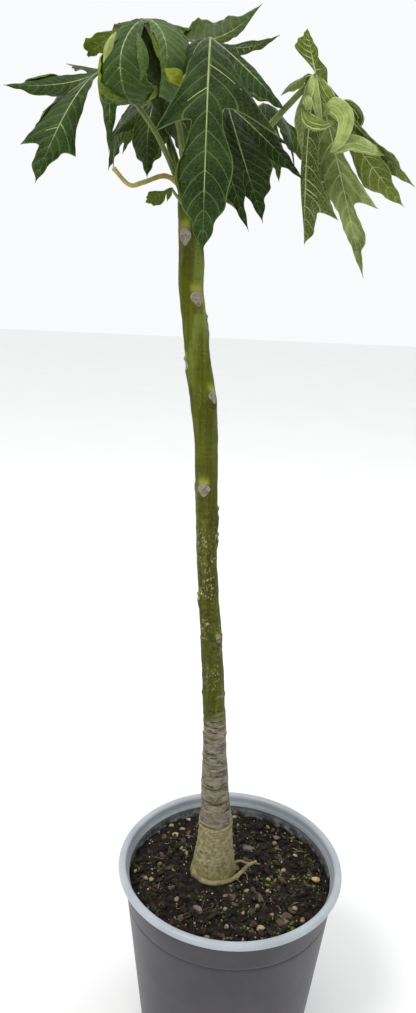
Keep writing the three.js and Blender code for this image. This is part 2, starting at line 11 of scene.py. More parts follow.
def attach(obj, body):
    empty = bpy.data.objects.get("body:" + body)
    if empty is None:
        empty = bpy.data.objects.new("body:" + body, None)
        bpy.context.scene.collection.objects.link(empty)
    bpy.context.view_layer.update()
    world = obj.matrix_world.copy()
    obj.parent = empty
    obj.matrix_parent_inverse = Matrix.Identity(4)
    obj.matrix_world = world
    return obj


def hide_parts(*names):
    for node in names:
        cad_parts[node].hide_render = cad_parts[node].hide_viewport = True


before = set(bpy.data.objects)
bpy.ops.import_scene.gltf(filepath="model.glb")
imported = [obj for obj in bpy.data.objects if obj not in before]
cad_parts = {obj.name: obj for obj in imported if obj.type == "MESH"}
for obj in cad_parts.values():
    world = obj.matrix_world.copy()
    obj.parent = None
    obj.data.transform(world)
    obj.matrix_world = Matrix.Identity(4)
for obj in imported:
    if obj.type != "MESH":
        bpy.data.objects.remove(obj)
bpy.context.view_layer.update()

MM = 0.001

# ---------------------------------------------------------------- camera

CAMERA_PLACE = (-0.047, -0.855, 0.936)
CAMERA_PITCH = 15.5              # degrees below the horizon
CAMERA_ROLL = 2.48
FOCAL_PIXELS = 800.0
FRAME_HEIGHT = 1013
SENSOR = 36.0


def add_camera():
    pitch, roll = math.radians(CAMERA_PITCH), math.radians(CAMERA_ROLL)
    forward = Vector((0, math.cos(pitch), -math.sin(pitch)))
    level_right = Vector((1, 0, 0))
    level_up = Vector((0, math.sin(pitch), math.cos(pitch)))
    right = level_right * math.cos(roll) + level_up * math.sin(roll)
    up = level_up * math.cos(roll) - level_right * math.sin(roll)
    data = bpy.data.cameras.new("camera")
    data.sensor_fit = "VERTICAL"
    data.sensor_height = SENSOR
    data.lens = FOCAL_PIXELS / FRAME_HEIGHT * SENSOR
    camera = bpy.data.objects.new("camera", data)
    turn = Matrix((right, up, -forward)).transposed().to_4x4()
    camera.matrix_world = Matrix.Translation(CAMERA_PLACE) @ turn
    bpy.context.collection.objects.link(camera)
    bpy.context.scene.camera = camera


# ---------------------------------------------------------------- small helpers

def smooth(x):
    x = np.clip(x, 0, 1)
    return x * x * (3 - 2 * x)


def lerp(a, b, share):
    return a + (b - a) * share


def hump(x):
    """A bell curve, 1 at 0 and near nothing beyond 2."""
    return np.exp(-x ** 2)


def unit(v):
    return v / np.maximum(np.linalg.norm(v, axis=-1, keepdims=True), 1e-12)


def dot(a, b):
    return np.sum(a * b, axis=-1, keepdims=True)


def direction(heading, dip):
    """Direction of a compass heading (degrees from +X towards +Y) that dips below the horizon."""
    h, d = math.radians(heading), math.radians(dip)
    return np.array([math.cos(h) * math.cos(d), math.sin(h) * math.cos(d), -math.sin(d)])


def spin(v, axis, degrees):
    """v turned about a unit axis."""
    cos, sin = math.cos(math.radians(degrees)), math.sin(math.radians(degrees))
    return v * cos + np.cross(axis, v) * sin + axis * np.dot(axis, v) * (1 - cos)


def chance(seed):
    """A repeatable number from 0 to 1, the same as the source's."""
    value = math.sin(seed * 12.9898) * 43758.5453
    return value - math.floor(value)


def through(points, count):
    """A smooth curve of count points through a list of points (Catmull-Rom)."""
    p = np.array(points, float)
    p = np.vstack([2 * p[0] - p[1], p, 2 * p[-1] - p[-2]])
    place = np.linspace(0, len(points) - 1 - 1e-9, count)
    i = place.astype(int)
    t = (place - i)[:, None]
    a, b, c, d = p[i], p[i + 1], p[i + 2], p[i + 3]
    return 0.5 * (2 * b + (c - a) * t + (2 * a - 5 * b + 4 * c - d) * t ** 2
                  + (3 * b - a - 3 * c + d) * t ** 3)


def waves(points, scale, seed):
    """Smooth noise of about -1 to 1 at points (millimetres), with features of about that scale."""
    rng = np.random.default_rng(seed)
    total = np.zeros(len(points))
    for octave, weight in ((1.0, 0.55), (1.9, 0.3), (3.7, 0.15)):
        for _ in range(4):
            way = unit(rng.normal(size=3)) * 2 * math.pi * octave / scale
            total += weight * np.sin(points @ way + rng.uniform(0, 2 * math.pi)) * 0.6
    return total


def wander(points, scale, seeds, sizes):
    """Smooth noise for each axis."""
    return np.stack([size * waves(points, scale, seed) for seed, size in zip(seeds, sizes)], -1)


# ---------------------------------------------------------------- meshes

def add_piece(name, parts, materials, nodes, crease=None):
    """One object from parts: (vertices in mm, triangles, material index, UVs by corner or None)."""
    vertices, triangles, slots, maps, at = [], [], [], [], 0
    for verts, tris, index, uvs in parts:
        vertices.append(verts)
        triangles.append(tris + at)
        slots.append(np.full(len(tris), index))
        maps.append(np.zeros((len(tris), 3, 4)) if uvs is None else uvs)
        at += len(verts)
    vertices, triangles = np.vstack(vertices), np.vstack(triangles)
    slots, maps = np.concatenate(slots), np.concatenate(maps)
    mesh = bpy.data.meshes.new(name)
    mesh.vertices.add(len(vertices))
    mesh.vertices.foreach_set("co", (vertices * MM).astype(np.float32).ravel())
    mesh.loops.add(triangles.size)
    mesh.loops.foreach_set("vertex_index", triangles.astype(np.int32).ravel())
    mesh.polygons.add(len(triangles))
    mesh.polygons.foreach_set("loop_start", np.arange(0, triangles.size, 3, dtype=np.int32))
    mesh.polygons.foreach_set("material_index", slots.astype(np.int32))
    mesh.update(calc_edges=True)
    if any(part[3] is not None for part in parts):
        for layer, first in (("OFBake", 0), ("Rib", 2)):
            uv = mesh.uv_layers.new(name=layer)
            uv.data.foreach_set("uv", maps[:, :, first:first + 2].astype(np.float32).ravel())
    mesh.shade_smooth()
    if crease:
        mesh.set_sharp_from_angle(angle=math.radians(crease))
    for material in materials:
        mesh.materials.append(material)
    piece = bpy.data.objects.new(name, mesh)
    bpy.context.collection.objects.link(piece)
    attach(piece, "root")
    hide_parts(*nodes)
    return piece


def grid_faces(rows, columns, closed=False):
    """Triangles of a grid of vertices laid out row by row."""
    r = np.arange(rows - 1)[:, None]
    c = np.arange(columns if closed else columns - 1)[None, :]
    a, b = r * columns + c, r * columns + (c + 1) % columns
    return np.stack([a, b, b + columns, a, b + columns, a + columns], -1).reshape(-1, 3)


def fan(hub, start, sides, outward):
    """Triangles that close a ring of vertices, from number start on, to a hub."""
    k = np.arange(sides)
    ring = (start + k, start + (k + 1) % sides)
    return np.stack([np.full(sides, hub), *(ring if outward else ring[::-1])], -1)


def closed_rings(rings, start, end):
    """Vertices and triangles of rows of rings that close to a point at both ends."""
    rows, sides = rings.shape[:2]
    hub = rows * sides
    return np.vstack([rings.reshape(-1, 3), start, end]), np.vstack([
        grid_faces(rows, sides, closed=True), fan(hub, 0, sides, False),
        fan(hub + 1, hub - sides, sides, True)])


def tube(points, radii, sides, flat=1.0, up=None):
    """Closed tube of varying radius along points. flat squeezes it along the up directions."""
    along = unit(np.gradient(points, axis=0))
    if up is None:
        up = np.tile(np.array([0.3, -0.9, 0.2]), (len(points), 1))
    up = unit(up - along * dot(up, along))
    side = np.cross(up, along)
    angle = np.arange(sides) / sides * 2 * math.pi
    rings = points[:, None] + radii[:, None, None] * (
        np.cos(angle)[None, :, None] * side[:, None] + flat * np.sin(angle)[None, :, None] * up[:, None])
    return closed_rings(rings, points[:1], points[-1:])


def join(shapes):
    """Several (vertices, triangles) as one."""
    verts, tris, at = [], [], 0
    for v, t in shapes:
        verts.append(v)
        tris.append(t + at)
        at += len(v)
    return np.vstack(verts), np.vstack(tris)


def add_plain(name, shapes, material, node, crease=None):
    """One object of one material from several (vertices, triangles)."""
    verts, tris = join(shapes)
    return add_piece(name, [(verts, tris, 0, None)], [material], [node], crease)


def share_vertices(parts):
    """Parts for add_piece that all use the first one's vertices, so that they come only once."""
    verts = parts[0][0]
    rest = [(np.zeros((0, 3)), tris - len(verts), index, uv) for _, tris, index, uv in parts[1:]]
    return parts[:1] + rest


# ---------------------------------------------------------------- material helpers

def srgb(text):
    """A colour from six hex digits."""
    values = [int(text[i:i + 2], 16) / 255 for i in (0, 2, 4)]
    return [v / 12.92 if v <= 0.04045 else ((v + 0.055) / 1.055) ** 2.4 for v in values] + [1.0]


class Shader:
    """A principled material built node by node. Colours are srgb's six hex digits, and here is the
    place on the piece (m)."""

    def __init__(self, name, **settings):
        self.material = bpy.data.materials.new(name)
        self.material.use_nodes = True
        self.tree = self.material.node_tree
        self.tree.nodes.clear()
        output = self.tree.nodes.new("ShaderNodeOutputMaterial")
        self.surface = self.node("ShaderNodeBsdfPrincipled", **settings)
        self.tree.links.new(self.surface.outputs[0], output.inputs[0])
        self.here = self.node("ShaderNodeTexCoord").outputs["Object"]
        self.colour = None

    def put(self, socket, value):
        if isinstance(value, bpy.types.NodeSocket):
            self.tree.links.new(value, socket)
        elif value is not None:
            socket.default_value = srgb(value) if isinstance(value, str) else value

    def node(self, kind, props=None, **inputs):
        made = self.tree.nodes.new(kind)
        for key, value in (props or {}).items():
            setattr(made, key, value)
        for key, value in inputs.items():
            self.put(made.inputs[key.replace("_", " ")], value)
        return made

    def noise(self, scale, detail, rough=0.55, distortion=0.0, squeeze=None, vector=None):
        vector = vector or self.here
        if squeeze:
            vector = self.node("ShaderNodeMapping", Vector=vector, Scale=squeeze).outputs[0]
        return self.node("ShaderNodeTexNoise", Vector=vector, Scale=scale, Detail=detail,
                         Roughness=rough, Distortion=distortion).outputs["Fac"]

    def cells(self, scale, feature="F1"):
        return self.node("ShaderNodeTexVoronoi", {"feature": feature}, Vector=self.here,
                         Scale=scale).outputs

    def uv(self, name):
        return self.node("ShaderNodeUVMap", {"uv_map": name}).outputs[0]

    def math(self, operation, a, b=0.0, c=0.0):
        made = self.node("ShaderNodeMath", {"operation": operation})
        for socket, value in zip(made.inputs, (a, b, c)):
            self.put(socket, value)
        return made.outputs[0]

    def times(self, a, b):
        return self.math("MULTIPLY", a, b)

    def plus(self, a, b):
        return self.math("ADD", a, b)

    def most(self, a, b):
        return self.math("MAXIMUM", a, b)

    def scaled(self, a, factor, offset):
        return self.math("MULTIPLY_ADD", a, factor, offset)

    def band(self, value, low, high, to_low=0.0, to_high=1.0):
        """A smooth step from to_low to to_high as the value goes from low to high."""
        return self.node("ShaderNodeMapRange", {"interpolation_type": "SMOOTHSTEP"}, Value=value,
                         From_Min=low, From_Max=high, To_Min=to_low, To_Max=to_high).outputs[0]

    def mix(self, share, a, b):
        made = self.node("ShaderNodeMix", {"data_type": "RGBA"})
        for socket, value in zip((made.inputs[0], made.inputs[6], made.inputs[7]), (share, a, b)):
            self.put(socket, value)
        return made.outputs[2]

    def attribute(self, name):
        return self.node("ShaderNodeAttribute", {"attribute_name": name}).outputs["Fac"]

    def axis(self, vector, name):
        return self.node("ShaderNodeSeparateXYZ", Vector=vector).outputs[name]

    def bump(self, height, distance, strength=1.0, normal=None):
        return self.node("ShaderNodeBump", Height=height, Distance=distance, Strength=strength,
                         Normal=normal).outputs[0]

    def coat(self, share, over):
        """Covers a share of the colour so far with another."""
        self.colour = self.mix(share, self.colour, over)

    def finish(self, roughness, normal=None):
        self.put(self.surface.inputs["Base Color"], self.colour)
        self.put(self.surface.inputs["Roughness"], roughness)
        self.put(self.surface.inputs["Normal"], normal)
        return self.material


# ---------------------------------------------------------------- leaf rule

RIB_SLANT = 48                   # degrees from the midrib to its ribs
WEB_STEP = 0.52                  # how far along the midrib the web's last rib starts, in webs
WEB_RIBS = 3                     # a lobe's web when it gives none
LOBE_CHORD = 0.94                # straight reach of a lobe, as a share of its length
CURVE_STEPS = 24
TIP_SHARPNESS = 1.7

# Outlines of half lobes: places along the lobe and the reach of its ribs there, as shares of its
# length. "tip" marks the point of a side lobe.
OUTLINES = {
    "lance": [(0, 0.05), (0.36, 0.17), (0.62, 0.11), (0.82, 0.04), (1, 0)],
    "slim": [(0, 0.04), (0.38, 0.12), (0.64, 0.07), (0.84, 0.03), (1, 0)],
    "spoon": [(0, 0.03), (0.35, 0.05), (0.62, 0.14), (0.82, 0.06), (1, 0)],
    "broad": [(0, 0.1), (0.38, 0.28), (0.6, 0.2), (0.8, 0.08), (1, 0)],
    "blunt": [(0, 0.12), (0.3, 0.34), (0.7, 0.36), (0.93, 0.2), (1, 0)],
    "hung": [(0, 0.06), (0.25, 0.14), (0.5, 0.27), (0.75, 0.33), (0.93, 0.2), (1, 0)],
    "half": [(0, 0.02), (0.5, 0.04), (1, 0)],
    "notched": [(0, 0.06), (0.22, 0.1), (0.4, 0.12), (0.57, 0.22, "tip"), (0.7, 0.1), (0.84, 0.05),
                (1, 0)],
    "winged": [(0, 0.04), (0.08, 0.16), (0.2, 0.43, "tip"), (0.35, 0.09), (0.4, 0.09), (0.53, 0.16),
               (0.7, 0.13), (0.85, 0.06), (1, 0)],
    "draped": [(0, 0.04), (0.14, 0.12), (0.31, 0.3, "tip"), (0.4, 0.09), (0.44, 0.1), (0.56, 0.16),
               (0.7, 0.13), (0.85, 0.06), (1, 0)],
    "antler": [(0, 0.05), (0.2, 0.12), (0.4, 0.22), (0.6, 0.29, "tip"), (0.7, 0.1), (0.8, 0.1), (1, 0)],
    "late": [(0, 0.05), (0.4, 0.09), (0.63, 0.27, "tip"), (0.72, 0.1), (0.84, 0.08), (1, 0)],
    "armed": [(0, 0.04), (0.3, 0.06), (0.45, 0.28, "tip"), (0.58, 0.07), (0.7, 0.12), (0.84, 0.05), (1, 0)],
}


def lobe(turn, length, heading, dip, left, right=None, **more):
    """One lobe. more may give sag, roll, curl, wide and web."""
    return {"turn": turn, "length": length, "heading": heading, "dip": dip,
            "left": left, "right": right or left, **more}


# Leaves as the source has them: where the lobes meet, how the blade leans (compass heading, dip) and
# heads, its stalk and its lobes, from one side to the other.
LEAVES = [
    {"name": "front_leaf", "centre": (-62, -100, 1136), "lean": (270, 25), "heading": 270,
     "spring": 0.3, "fold": 0.12, "web": 22,
     "stalk": {"height": 1006, "radius": 3.4, "bend": 0.3, "rise": 0.6},
     "lobes": [
         lobe(-140, 56, 103, 12, "lance"),
         lobe(-75, 55, -138, 60, "broad"),
         lobe(0, 194, -89, 74, "winged", "draped"),
         lobe(62, 96, -17, 40, "slim", "broad", sag=0.12, roll=51),
         lobe(105, 79, 33, -12, "lance", sag=0.2, roll=-30)]},
    {"name": "top_left_leaf", "centre": (-121, -60, 1159), "lean": (250, 20), "heading": 250,
     "spring": 0.42, "fold": 0.12, "web": 28, "quilt": 1.7, "ripple": 1.5,
     "stalk": {"height": 1016, "radius": 3.2, "bend": 0.3, "rise": 0.75},
     "lobes": [
         lobe(-134, 130, 104, -3, "lance"),
         lobe(-90, 92, 135, 12, "broad", sag=0.1),
         lobe(-40, 56, -164, 46, "lance", web=2),
         lobe(0, 123, -104, 46, "hung", curl=110, wide=0.8, web=2),
         lobe(48, 109, -67, 40, "blunt", "slim", curl=90, wide=0.85),
         lobe(95, 60, 22, 30, "broad"),
         lobe(130, 147, 37, -17, "lance", "half", sag=0.32, roll=40, wide=1.6),
         lobe(165, 130, 71, -8, "lance", sag=0.1)]},
    {"name": "far_left_leaf", "centre": (-166, -10, 1129), "lean": (200, 35), "heading": 200,
     "spring": 0.42, "fold": 0.15, "web": 24,
     "stalk": {"height": 990, "radius": 3, "bend": 0.3, "rise": 0.72},
     "lobes": [
         lobe(-110, 72, 131, -13, "broad"),
         lobe(-60, 101, -167, 13, "lance", roll=-60, wide=1.1),
         lobe(-10, 79, 162, 29, "broad", roll=-50),
         lobe(40, 141, -138, 56, "notched", "antler", roll=-38),
         lobe(90, 109, -76, 53, "slim")]},
    {"name": "inner_right_leaf", "centre": (-45, -46, 1095), "lean": (300, 40), "heading": 290,
     "spring": 0.3, "fold": 0.25, "web": 26,
     "stalk": {"height": 1020, "radius": 2.8, "bend": 0.3, "rise": 0.6},
     "lobes": [
         lobe(-90, 90, -92, 64, "lance"),
         lobe(-40, 129, -59, 67, "lance", roll=25),
         lobe(0, 121, -39, 65, "broad", "lance", roll=46),
         lobe(50, 104, -8, 40, "lance", roll=66),
         lobe(100, 71, -12, 30, "lance", roll=55)]},
    {"name": "inner_left_leaf", "centre": (-112, 45, 1121), "lean": (200, 25), "heading": 230,
     "spring": 0.3, "fold": 0.25, "web": 22,
     "stalk": {"height": 1016, "radius": 2.8, "bend": 0.8, "rise": 0.4},
     "lobes": [
         lobe(-70, 73, 180, 40, "lance", roll=-50, wide=1.3),
         lobe(0, 96, -110, 69, "broad"),
         lobe(70, 84, -34, 63, "broad")]},
    {"name": "right_leaf", "centre": (33, -60, 1120), "lean": (110, 65), "heading": 100,
     "spring": 0.3, "fold": 0.25, "web": 34,
     "stalk": {"height": 998, "radius": 3.6, "bend": 0.5, "rise": 0.56},
     "lobes": [
         lobe(-188, 41, -150, -70, "slim", "broad", web=1, wide=1.6, roll=55),
         lobe(-46, 149, 16, 38, "spoon", sag=0.12, roll=-10),
         lobe(-30, 159, 22, 44, "spoon", sag=0.1, roll=-40, wide=0.9),
         lobe(-11, 207, 41, 62, "slim", "armed"),
         lobe(20, 165, 84, 67, "half", "late"),
         lobe(48, 89, 91, 44, "slim", web=1),
         lobe(120, 46, -148, 30, "lance", wide=2.2)]},
    {"name": "small_leaf", "centre": (-97, -14, 1026), "lean": (230, 40), "heading": 215,
     "spring": 0.35, "fold": 0.2, "web": 9,
     "stalk": {"height": 1002, "radius": 1.8, "bend": 0.5, "rise": 0.6},
     "lobes": [
         lobe(-45, 22, 190, 35, "lance"),
         lobe(0, 34, -150, 30, "broad", roll=-50, wide=1.35),
         lobe(45, 22, -100, 45, "lance")]},
]

# The leaves behind: name, place, heading, size, seed and the height of the stalk's foot.
BACK_LEAVES = [
    ("back_left_leaf", (-134, 100, 1128), 156, 94, 1, 984),
    ("back_leaf", (-62, 134, 1160), 86, 138, 2, 1004),
    ("back_right_leaf", (-6, 86, 1124), 24, 100, 3, 992),
    ("young_leaf", (-76, 40, 1146), 300, 58, 5, 1008),
]
BACK_LOBES = 7
BACK_LOBE_TURN = 38
BACK_DIP = 57
BACK_SHORTENING = 0.0035
BACK_LEAN = 15


def back_leaf(name, centre, heading, size, seed, height):
    lobes = []
    for k in range(BACK_LOBES):
        turn = BACK_LOBE_TURN * (k - (BACK_LOBES - 1) / 2)
        vary = [chance(seed + 7.1 * k + n) - 0.5 for n in (1, 2, 3)]
        lobes.append(lobe(
            turn, size * (1 - BACK_SHORTENING * abs(turn)) * (1 + 0.2 * vary[0]),
            heading + turn * 0.9 + 16 * vary[1], BACK_DIP + 24 * vary[2],
            "broad" if k % 2 else "notched", wide=0.9))
    return {"name": name, "centre": centre, "lean": (heading, BACK_LEAN), "heading": heading,
            "spring": 0.4, "fold": 0.2, "web": 0.28 * size,
            "stalk": {"height": height, "radius": 3, "bend": 0.3, "rise": 0.7}, "lobes": lobes}


def outline_reach(outline, station):
    """Reach of the ribs at stations of an outline, as shares of the lobe's length."""
    reach = np.zeros_like(station)
    for (start, low, *from_tip), (end, high, *to_tip) in zip(outline, outline[1:]):
        inside = (station >= start) & (station <= end)
        share = (station[inside] - start) / (end - start)
        if to_tip:
            reach[inside] = lerp(low, high, share ** TIP_SHARPNESS)
        elif from_tip:
            reach[inside] = lerp(high, low, (1 - share) ** TIP_SHARPNESS)
        else:
            reach[inside] = lerp(low, high, smooth(share))
    return reach


def lobe_curve(leaf, one):
    """The midrib of a lobe in space: points, directions, upward normals and lengths of its steps."""
    normal = direction(leaf["lean"][0], leaf["lean"][1] - 90)
    level = direction(leaf["heading"], 0)
    forward = unit(level - normal * np.dot(level, normal))
    start = spin(forward, normal, one["turn"])
    chord = direction(one["heading"], one["dip"])
    tip_up = spin(direction(one["heading"], one["dip"] - 90), chord, one.get("roll", 0))
    origin = np.array(leaf["centre"], float)
    bend = origin + start * one["length"] * leaf["spring"]
    bend[2] -= one["length"] * one.get("sag", 0)
    end = origin + chord * one["length"] * LOBE_CHORD
    s = np.linspace(0, 1, CURVE_STEPS + 1)[:, None]
    points = (1 - s) ** 2 * origin + 2 * s * (1 - s) * bend + s ** 2 * end
    along = unit((1 - s) * (bend - origin) + s * (end - bend))
    up = lerp(normal, tip_up, smooth(s * 1.6))
    up = unit(up - along * dot(up, along))
    curl = np.radians(one.get("curl", 0)) * smooth((s - 0.5) / 0.5)
    along, up = along * np.cos(curl) - up * np.sin(curl), up * np.cos(curl) + along * np.sin(curl)
    steps = np.linalg.norm(np.diff(points, axis=0), axis=1)
    course = unit(along[:-1] + along[1:]) * steps[:, None]
    points[1:] = points[0] + np.cumsum(course, axis=0)
    return {"points": points, "along": along, "up": up, "steps": steps,
            "travel": np.concatenate([[0], np.cumsum(steps)])}


def lobe_place(one, x, y, lift):
    """Places in space of flat points: x along the midrib, y to its left, lift above it."""
    curve = one["curve"]
    travel = x * curve["travel"][-1] / one["length"]
    i = np.clip(np.searchsorted(curve["travel"], travel, side="right") - 1, 0, CURVE_STEPS - 1)
    rest = travel - curve["travel"][i]
    share = np.clip(rest / curve["steps"][i], 0, 1)
    beyond = rest - share * curve["steps"][i]
    s = share[..., None]
    along = unit(lerp(curve["along"][i], curve["along"][i + 1], s))
    up = unit(lerp(curve["up"][i], curve["up"][i + 1], s))
    side = unit(np.cross(up, along))
    point = lerp(curve["points"][i], curve["points"][i + 1], s)
    return point + along * beyond[..., None] + side * y[..., None] + up * lift[..., None]


# ---------------------------------------------------------------- leaf surface

RIB_BOW = 0.35                   # how much a rib leaves the midrib square and bends forward later
FINE_STEP = 1.7                  # spacing of a blade's stations
FINE_COLUMN = 3.2                # widest spacing across a rib
WEB_STATIONS = 12
COLUMNS = (5, 14)                # fewest and most columns across a half lobe
SIDES = (1, -1)                  # left and right of a midrib
MAP_MARGIN = 2                   # clear strip round each lobe on the map (mm)
VEIN_SPACING = 0.082             # spacing of side veins, as a share of the lobe's length
HALF_THICK = 0.32
RIM_THICK = 0.45                 # thickness at the rim, as a share of the blade's
WELD = 0.004                     # points this near each other (mm) are one
EDGE_CURL = 0.13                 # how far a margin bends up or down, as a share of the rib's run
VEIN_ARCH = 0.45                 # how far a side vein's end bends forward, in vein spacings


def neighbour(leaf, index, side):
    return leaf["lobes"][index + side] if 0 <= index + side < len(leaf["lobes"]) else None


def outline_of(one, side):
    return OUTLINES[one["left" if side > 0 else "right"]]


def vein_spacing(one):
    return float(np.clip(VEIN_SPACING * one["length"], 5, 16))


def blade(leaf, index, side, x, t):
    """Points of a blade's middle surface: x is the rib's station and t the share of its length."""
    one, near = leaf["lobes"][index], neighbour(leaf, index, side)
    length, phase = one["length"], leaf["seed"] + 1.7 * index + side
    reach = outline_reach(outline_of(one, side), np.minimum(x / length, 1))
    reach = reach * length * one.get("wide", 1)
    teeth = (np.sin(x / (0.055 * length + 3) + phase)
             + 0.35 * np.sin(x / (0.023 * length + 2) + 2 * phase))
    reach = reach * (1 + 0.04 * teeth * smooth(1 - x / length))
    forward = reach * math.cos(math.radians(RIB_SLANT))
    sideways = reach * math.sin(math.radians(RIB_SLANT))
    web = leaf["web"]
    if near:
        half = math.radians(abs(near["turn"] - one["turn"]) / 2)
        web = web * (one if side > 0 else near).get("web", WEB_RIBS) / WEB_RIBS
        station = WEB_STEP * web
        free = smooth((x - station) / (0.4 * web))
        inside = x <= station + 0.001
        radius = x / WEB_STEP
        forward = np.where(inside, radius * math.cos(half) - x,
                           lerp(web * math.cos(half) - station, forward, free))
        sideways = np.where(inside, radius * math.sin(half),
                            lerp(web * math.sin(half), sideways, free))
    else:
        free = smooth(x / (WEB_STEP * web))
        forward, sideways = forward * free, sideways * free
    flat_x = x + forward * t * (1 - RIB_BOW * (1 - t))
    flat_y = sideways * t
    run = np.hypot(forward, sideways)
    u = x / vein_spacing(one)
    quilt = np.abs(np.sin(math.pi * u)) ** 0.7 * smooth(4 * t) * smooth(3 * (1 - t))
    ripple = np.sin(flat_x / (0.03 * length + 2.4) + phase) + 0.5 * np.sin(flat_x / 1.9 + 3 * phase)
    lift = (-leaf["fold"] * run * t * np.clip(x / (1.2 * leaf["web"]), 0, 1)
            + leaf.get("quilt", 0.75) * quilt * np.minimum(run / 14, 1)
            + leaf.get("ripple", 0.8) * ripple * t ** 3 * free * np.minimum(run / 14, 1)
            + EDGE_CURL * run * t ** 5 * free * np.sin(x / (0.13 * length + 4) + 2.3 * phase))
    own = lobe_place(one, flat_x, side * flat_y, lift)
    if near:
        radius, angle = np.hypot(flat_x, flat_y), np.arctan2(flat_y, np.maximum(flat_x, 1e-9))
        share = np.minimum(smooth(angle / (2 * half)), 0.5) * (1 - smooth((radius / web - 1) / 0.5))
        across = 2 * half - angle
        other = lobe_place(near, radius * np.cos(across), -side * radius * np.sin(across), lift)
        own = lerp(own, other, share[..., None])
    return own, np.stack([flat_x, side * flat_y], -1), lerp(0.6, 1.0, free)


def blade_stations(leaf, one):
    """Stations along a lobe, with every point of its outlines among them."""
    web = WEB_STEP * leaf["web"]
    keys = sorted({k[0] for side in SIDES for k in outline_of(one, side)})
    stations = [web * k / WEB_STATIONS for k in range(WEB_STATIONS + 1)]
    for key in keys:
        start, end = stations[-1], key * one["length"]
        if end > start + 0.3:
            stations += list(np.linspace(start, end, math.ceil((end - start) / FINE_STEP) + 1)[1:])
    return np.array(stations)


def weld(points, triangles):
    """Joins vertices that lie together and drops the triangles that this closes."""
    _, first, back = np.unique(np.round(points / WELD).astype(np.int64), axis=0,
                               return_index=True, return_inverse=True)
    back = back.reshape(-1)
    tris = back[triangles]
    keep = (tris[:, 0] != tris[:, 1]) & (tris[:, 1] != tris[:, 2]) & (tris[:, 2] != tris[:, 0])
    return points[first], tris[keep], keep


def vertex_normals(points, tris):
    a, b, c = points[tris[:, 0]], points[tris[:, 1]], points[tris[:, 2]]
    face = np.cross(b - a, c - a)
    normals = np.zeros_like(points)
    for k in range(3):
        np.add.at(normals, tris[:, k], face)
    return unit(normals)


# Margins that have rolled over onto the leaf: leaf, lobe, side, where along the lobe, and the
# flap's width (mm). They show the pale underside.
ROLLS = [
    ("top_left_leaf", 3, -1, 0.25, 0.80, 4.5),
    ("top_left_leaf", 3, 1, 0.26, 0.60, 6),
    ("top_left_leaf", 3, 1, 0.66, 0.97, 5),
    ("top_left_leaf", 4, 1, 0.30, 0.90, 2.6),
    ("front_leaf", 3, -1, 0.2, 0.8, 2.2),
    ("front_leaf", 2, -1, 0.42, 0.7, 1.6),
    ("far_left_leaf", 3, -1, 0.25, 0.5, 3),
    ("far_left_leaf", 1, -1, 0.3, 0.7, 3.5),
    ("inner_right_leaf", 1, -1, 0.3, 0.8, 2.5),
    ("inner_left_leaf", 1, 1, 0.3, 0.8, 3),
    ("right_leaf", 3, 1, 0.35, 0.8, 3),
    ("right_leaf", 4, -1, 0.3, 0.6, 4),
    ("right_leaf", 2, 1, 0.4, 0.85, 4),
    ("right_leaf", 1, 1, 0.4, 0.85, 3),
    ("back_left_leaf", 2, 1, 0.3, 0.8, 3),
    ("back_leaf", 3, -1, 0.3, 0.7, 4),
    ("back_leaf", 5, 1, 0.35, 0.75, 3),
    ("back_right_leaf", 4, 1, 0.3, 0.8, 3),
]
ROLL_RADIUS = 1.1
ROLL_STEPS = 9


def rolled_margin(leaf, index, side, start, end, flap):
    """A margin that curls up and over onto the blade: points, flat places and rib places."""
    one = leaf["lobes"][index]
    x = blade_stations(leaf, one)
    x = x[(x >= start * one["length"]) & (x <= end * one["length"])]
    edge, flat, _ = blade(leaf, index, side, x, np.ones_like(x))
    inner = blade(leaf, index, side, x, np.full_like(x, 0.93))[0]
    outward = unit(edge - inner)
    normal = unit(np.cross(np.gradient(edge, axis=0), outward)) * side
    share = (x - x[0]) / (x[-1] - x[0])
    size = np.sin(math.pi * share) ** 0.6 * (1 + 0.18 * np.sin(9 * share + index))
    radius = (ROLL_RADIUS * size)[:, None, None]
    turn = np.linspace(0, math.pi, ROLL_STEPS)[None, :, None]
    curl = radius * (np.sin(turn) * outward[:, None] + (1 - np.cos(turn)) * normal[:, None])
    over = np.linspace(0, 1, 5)[1:][None, :, None]
    lie = curl[:, -1:] - (flap * size)[:, None, None] * over * (
        outward[:, None] + 0.12 * over * normal[:, None])
    place = edge[:, None] + np.concatenate([curl, lie], 1)
    columns = place.shape[1]
    beyond = np.linspace(0, 1, columns) * (flap + 3)
    laid = flat[:, None] + np.stack([0 * beyond, side * beyond], -1)[None]
    rib = np.stack(np.broadcast_arrays(
        (x / vein_spacing(one))[:, None], np.linspace(0.9, 0.3, columns)[None]), -1)
    if side > 0:
        place, laid, rib = place[:, ::-1], laid[:, ::-1], rib[:, ::-1]
    return place, laid, rib


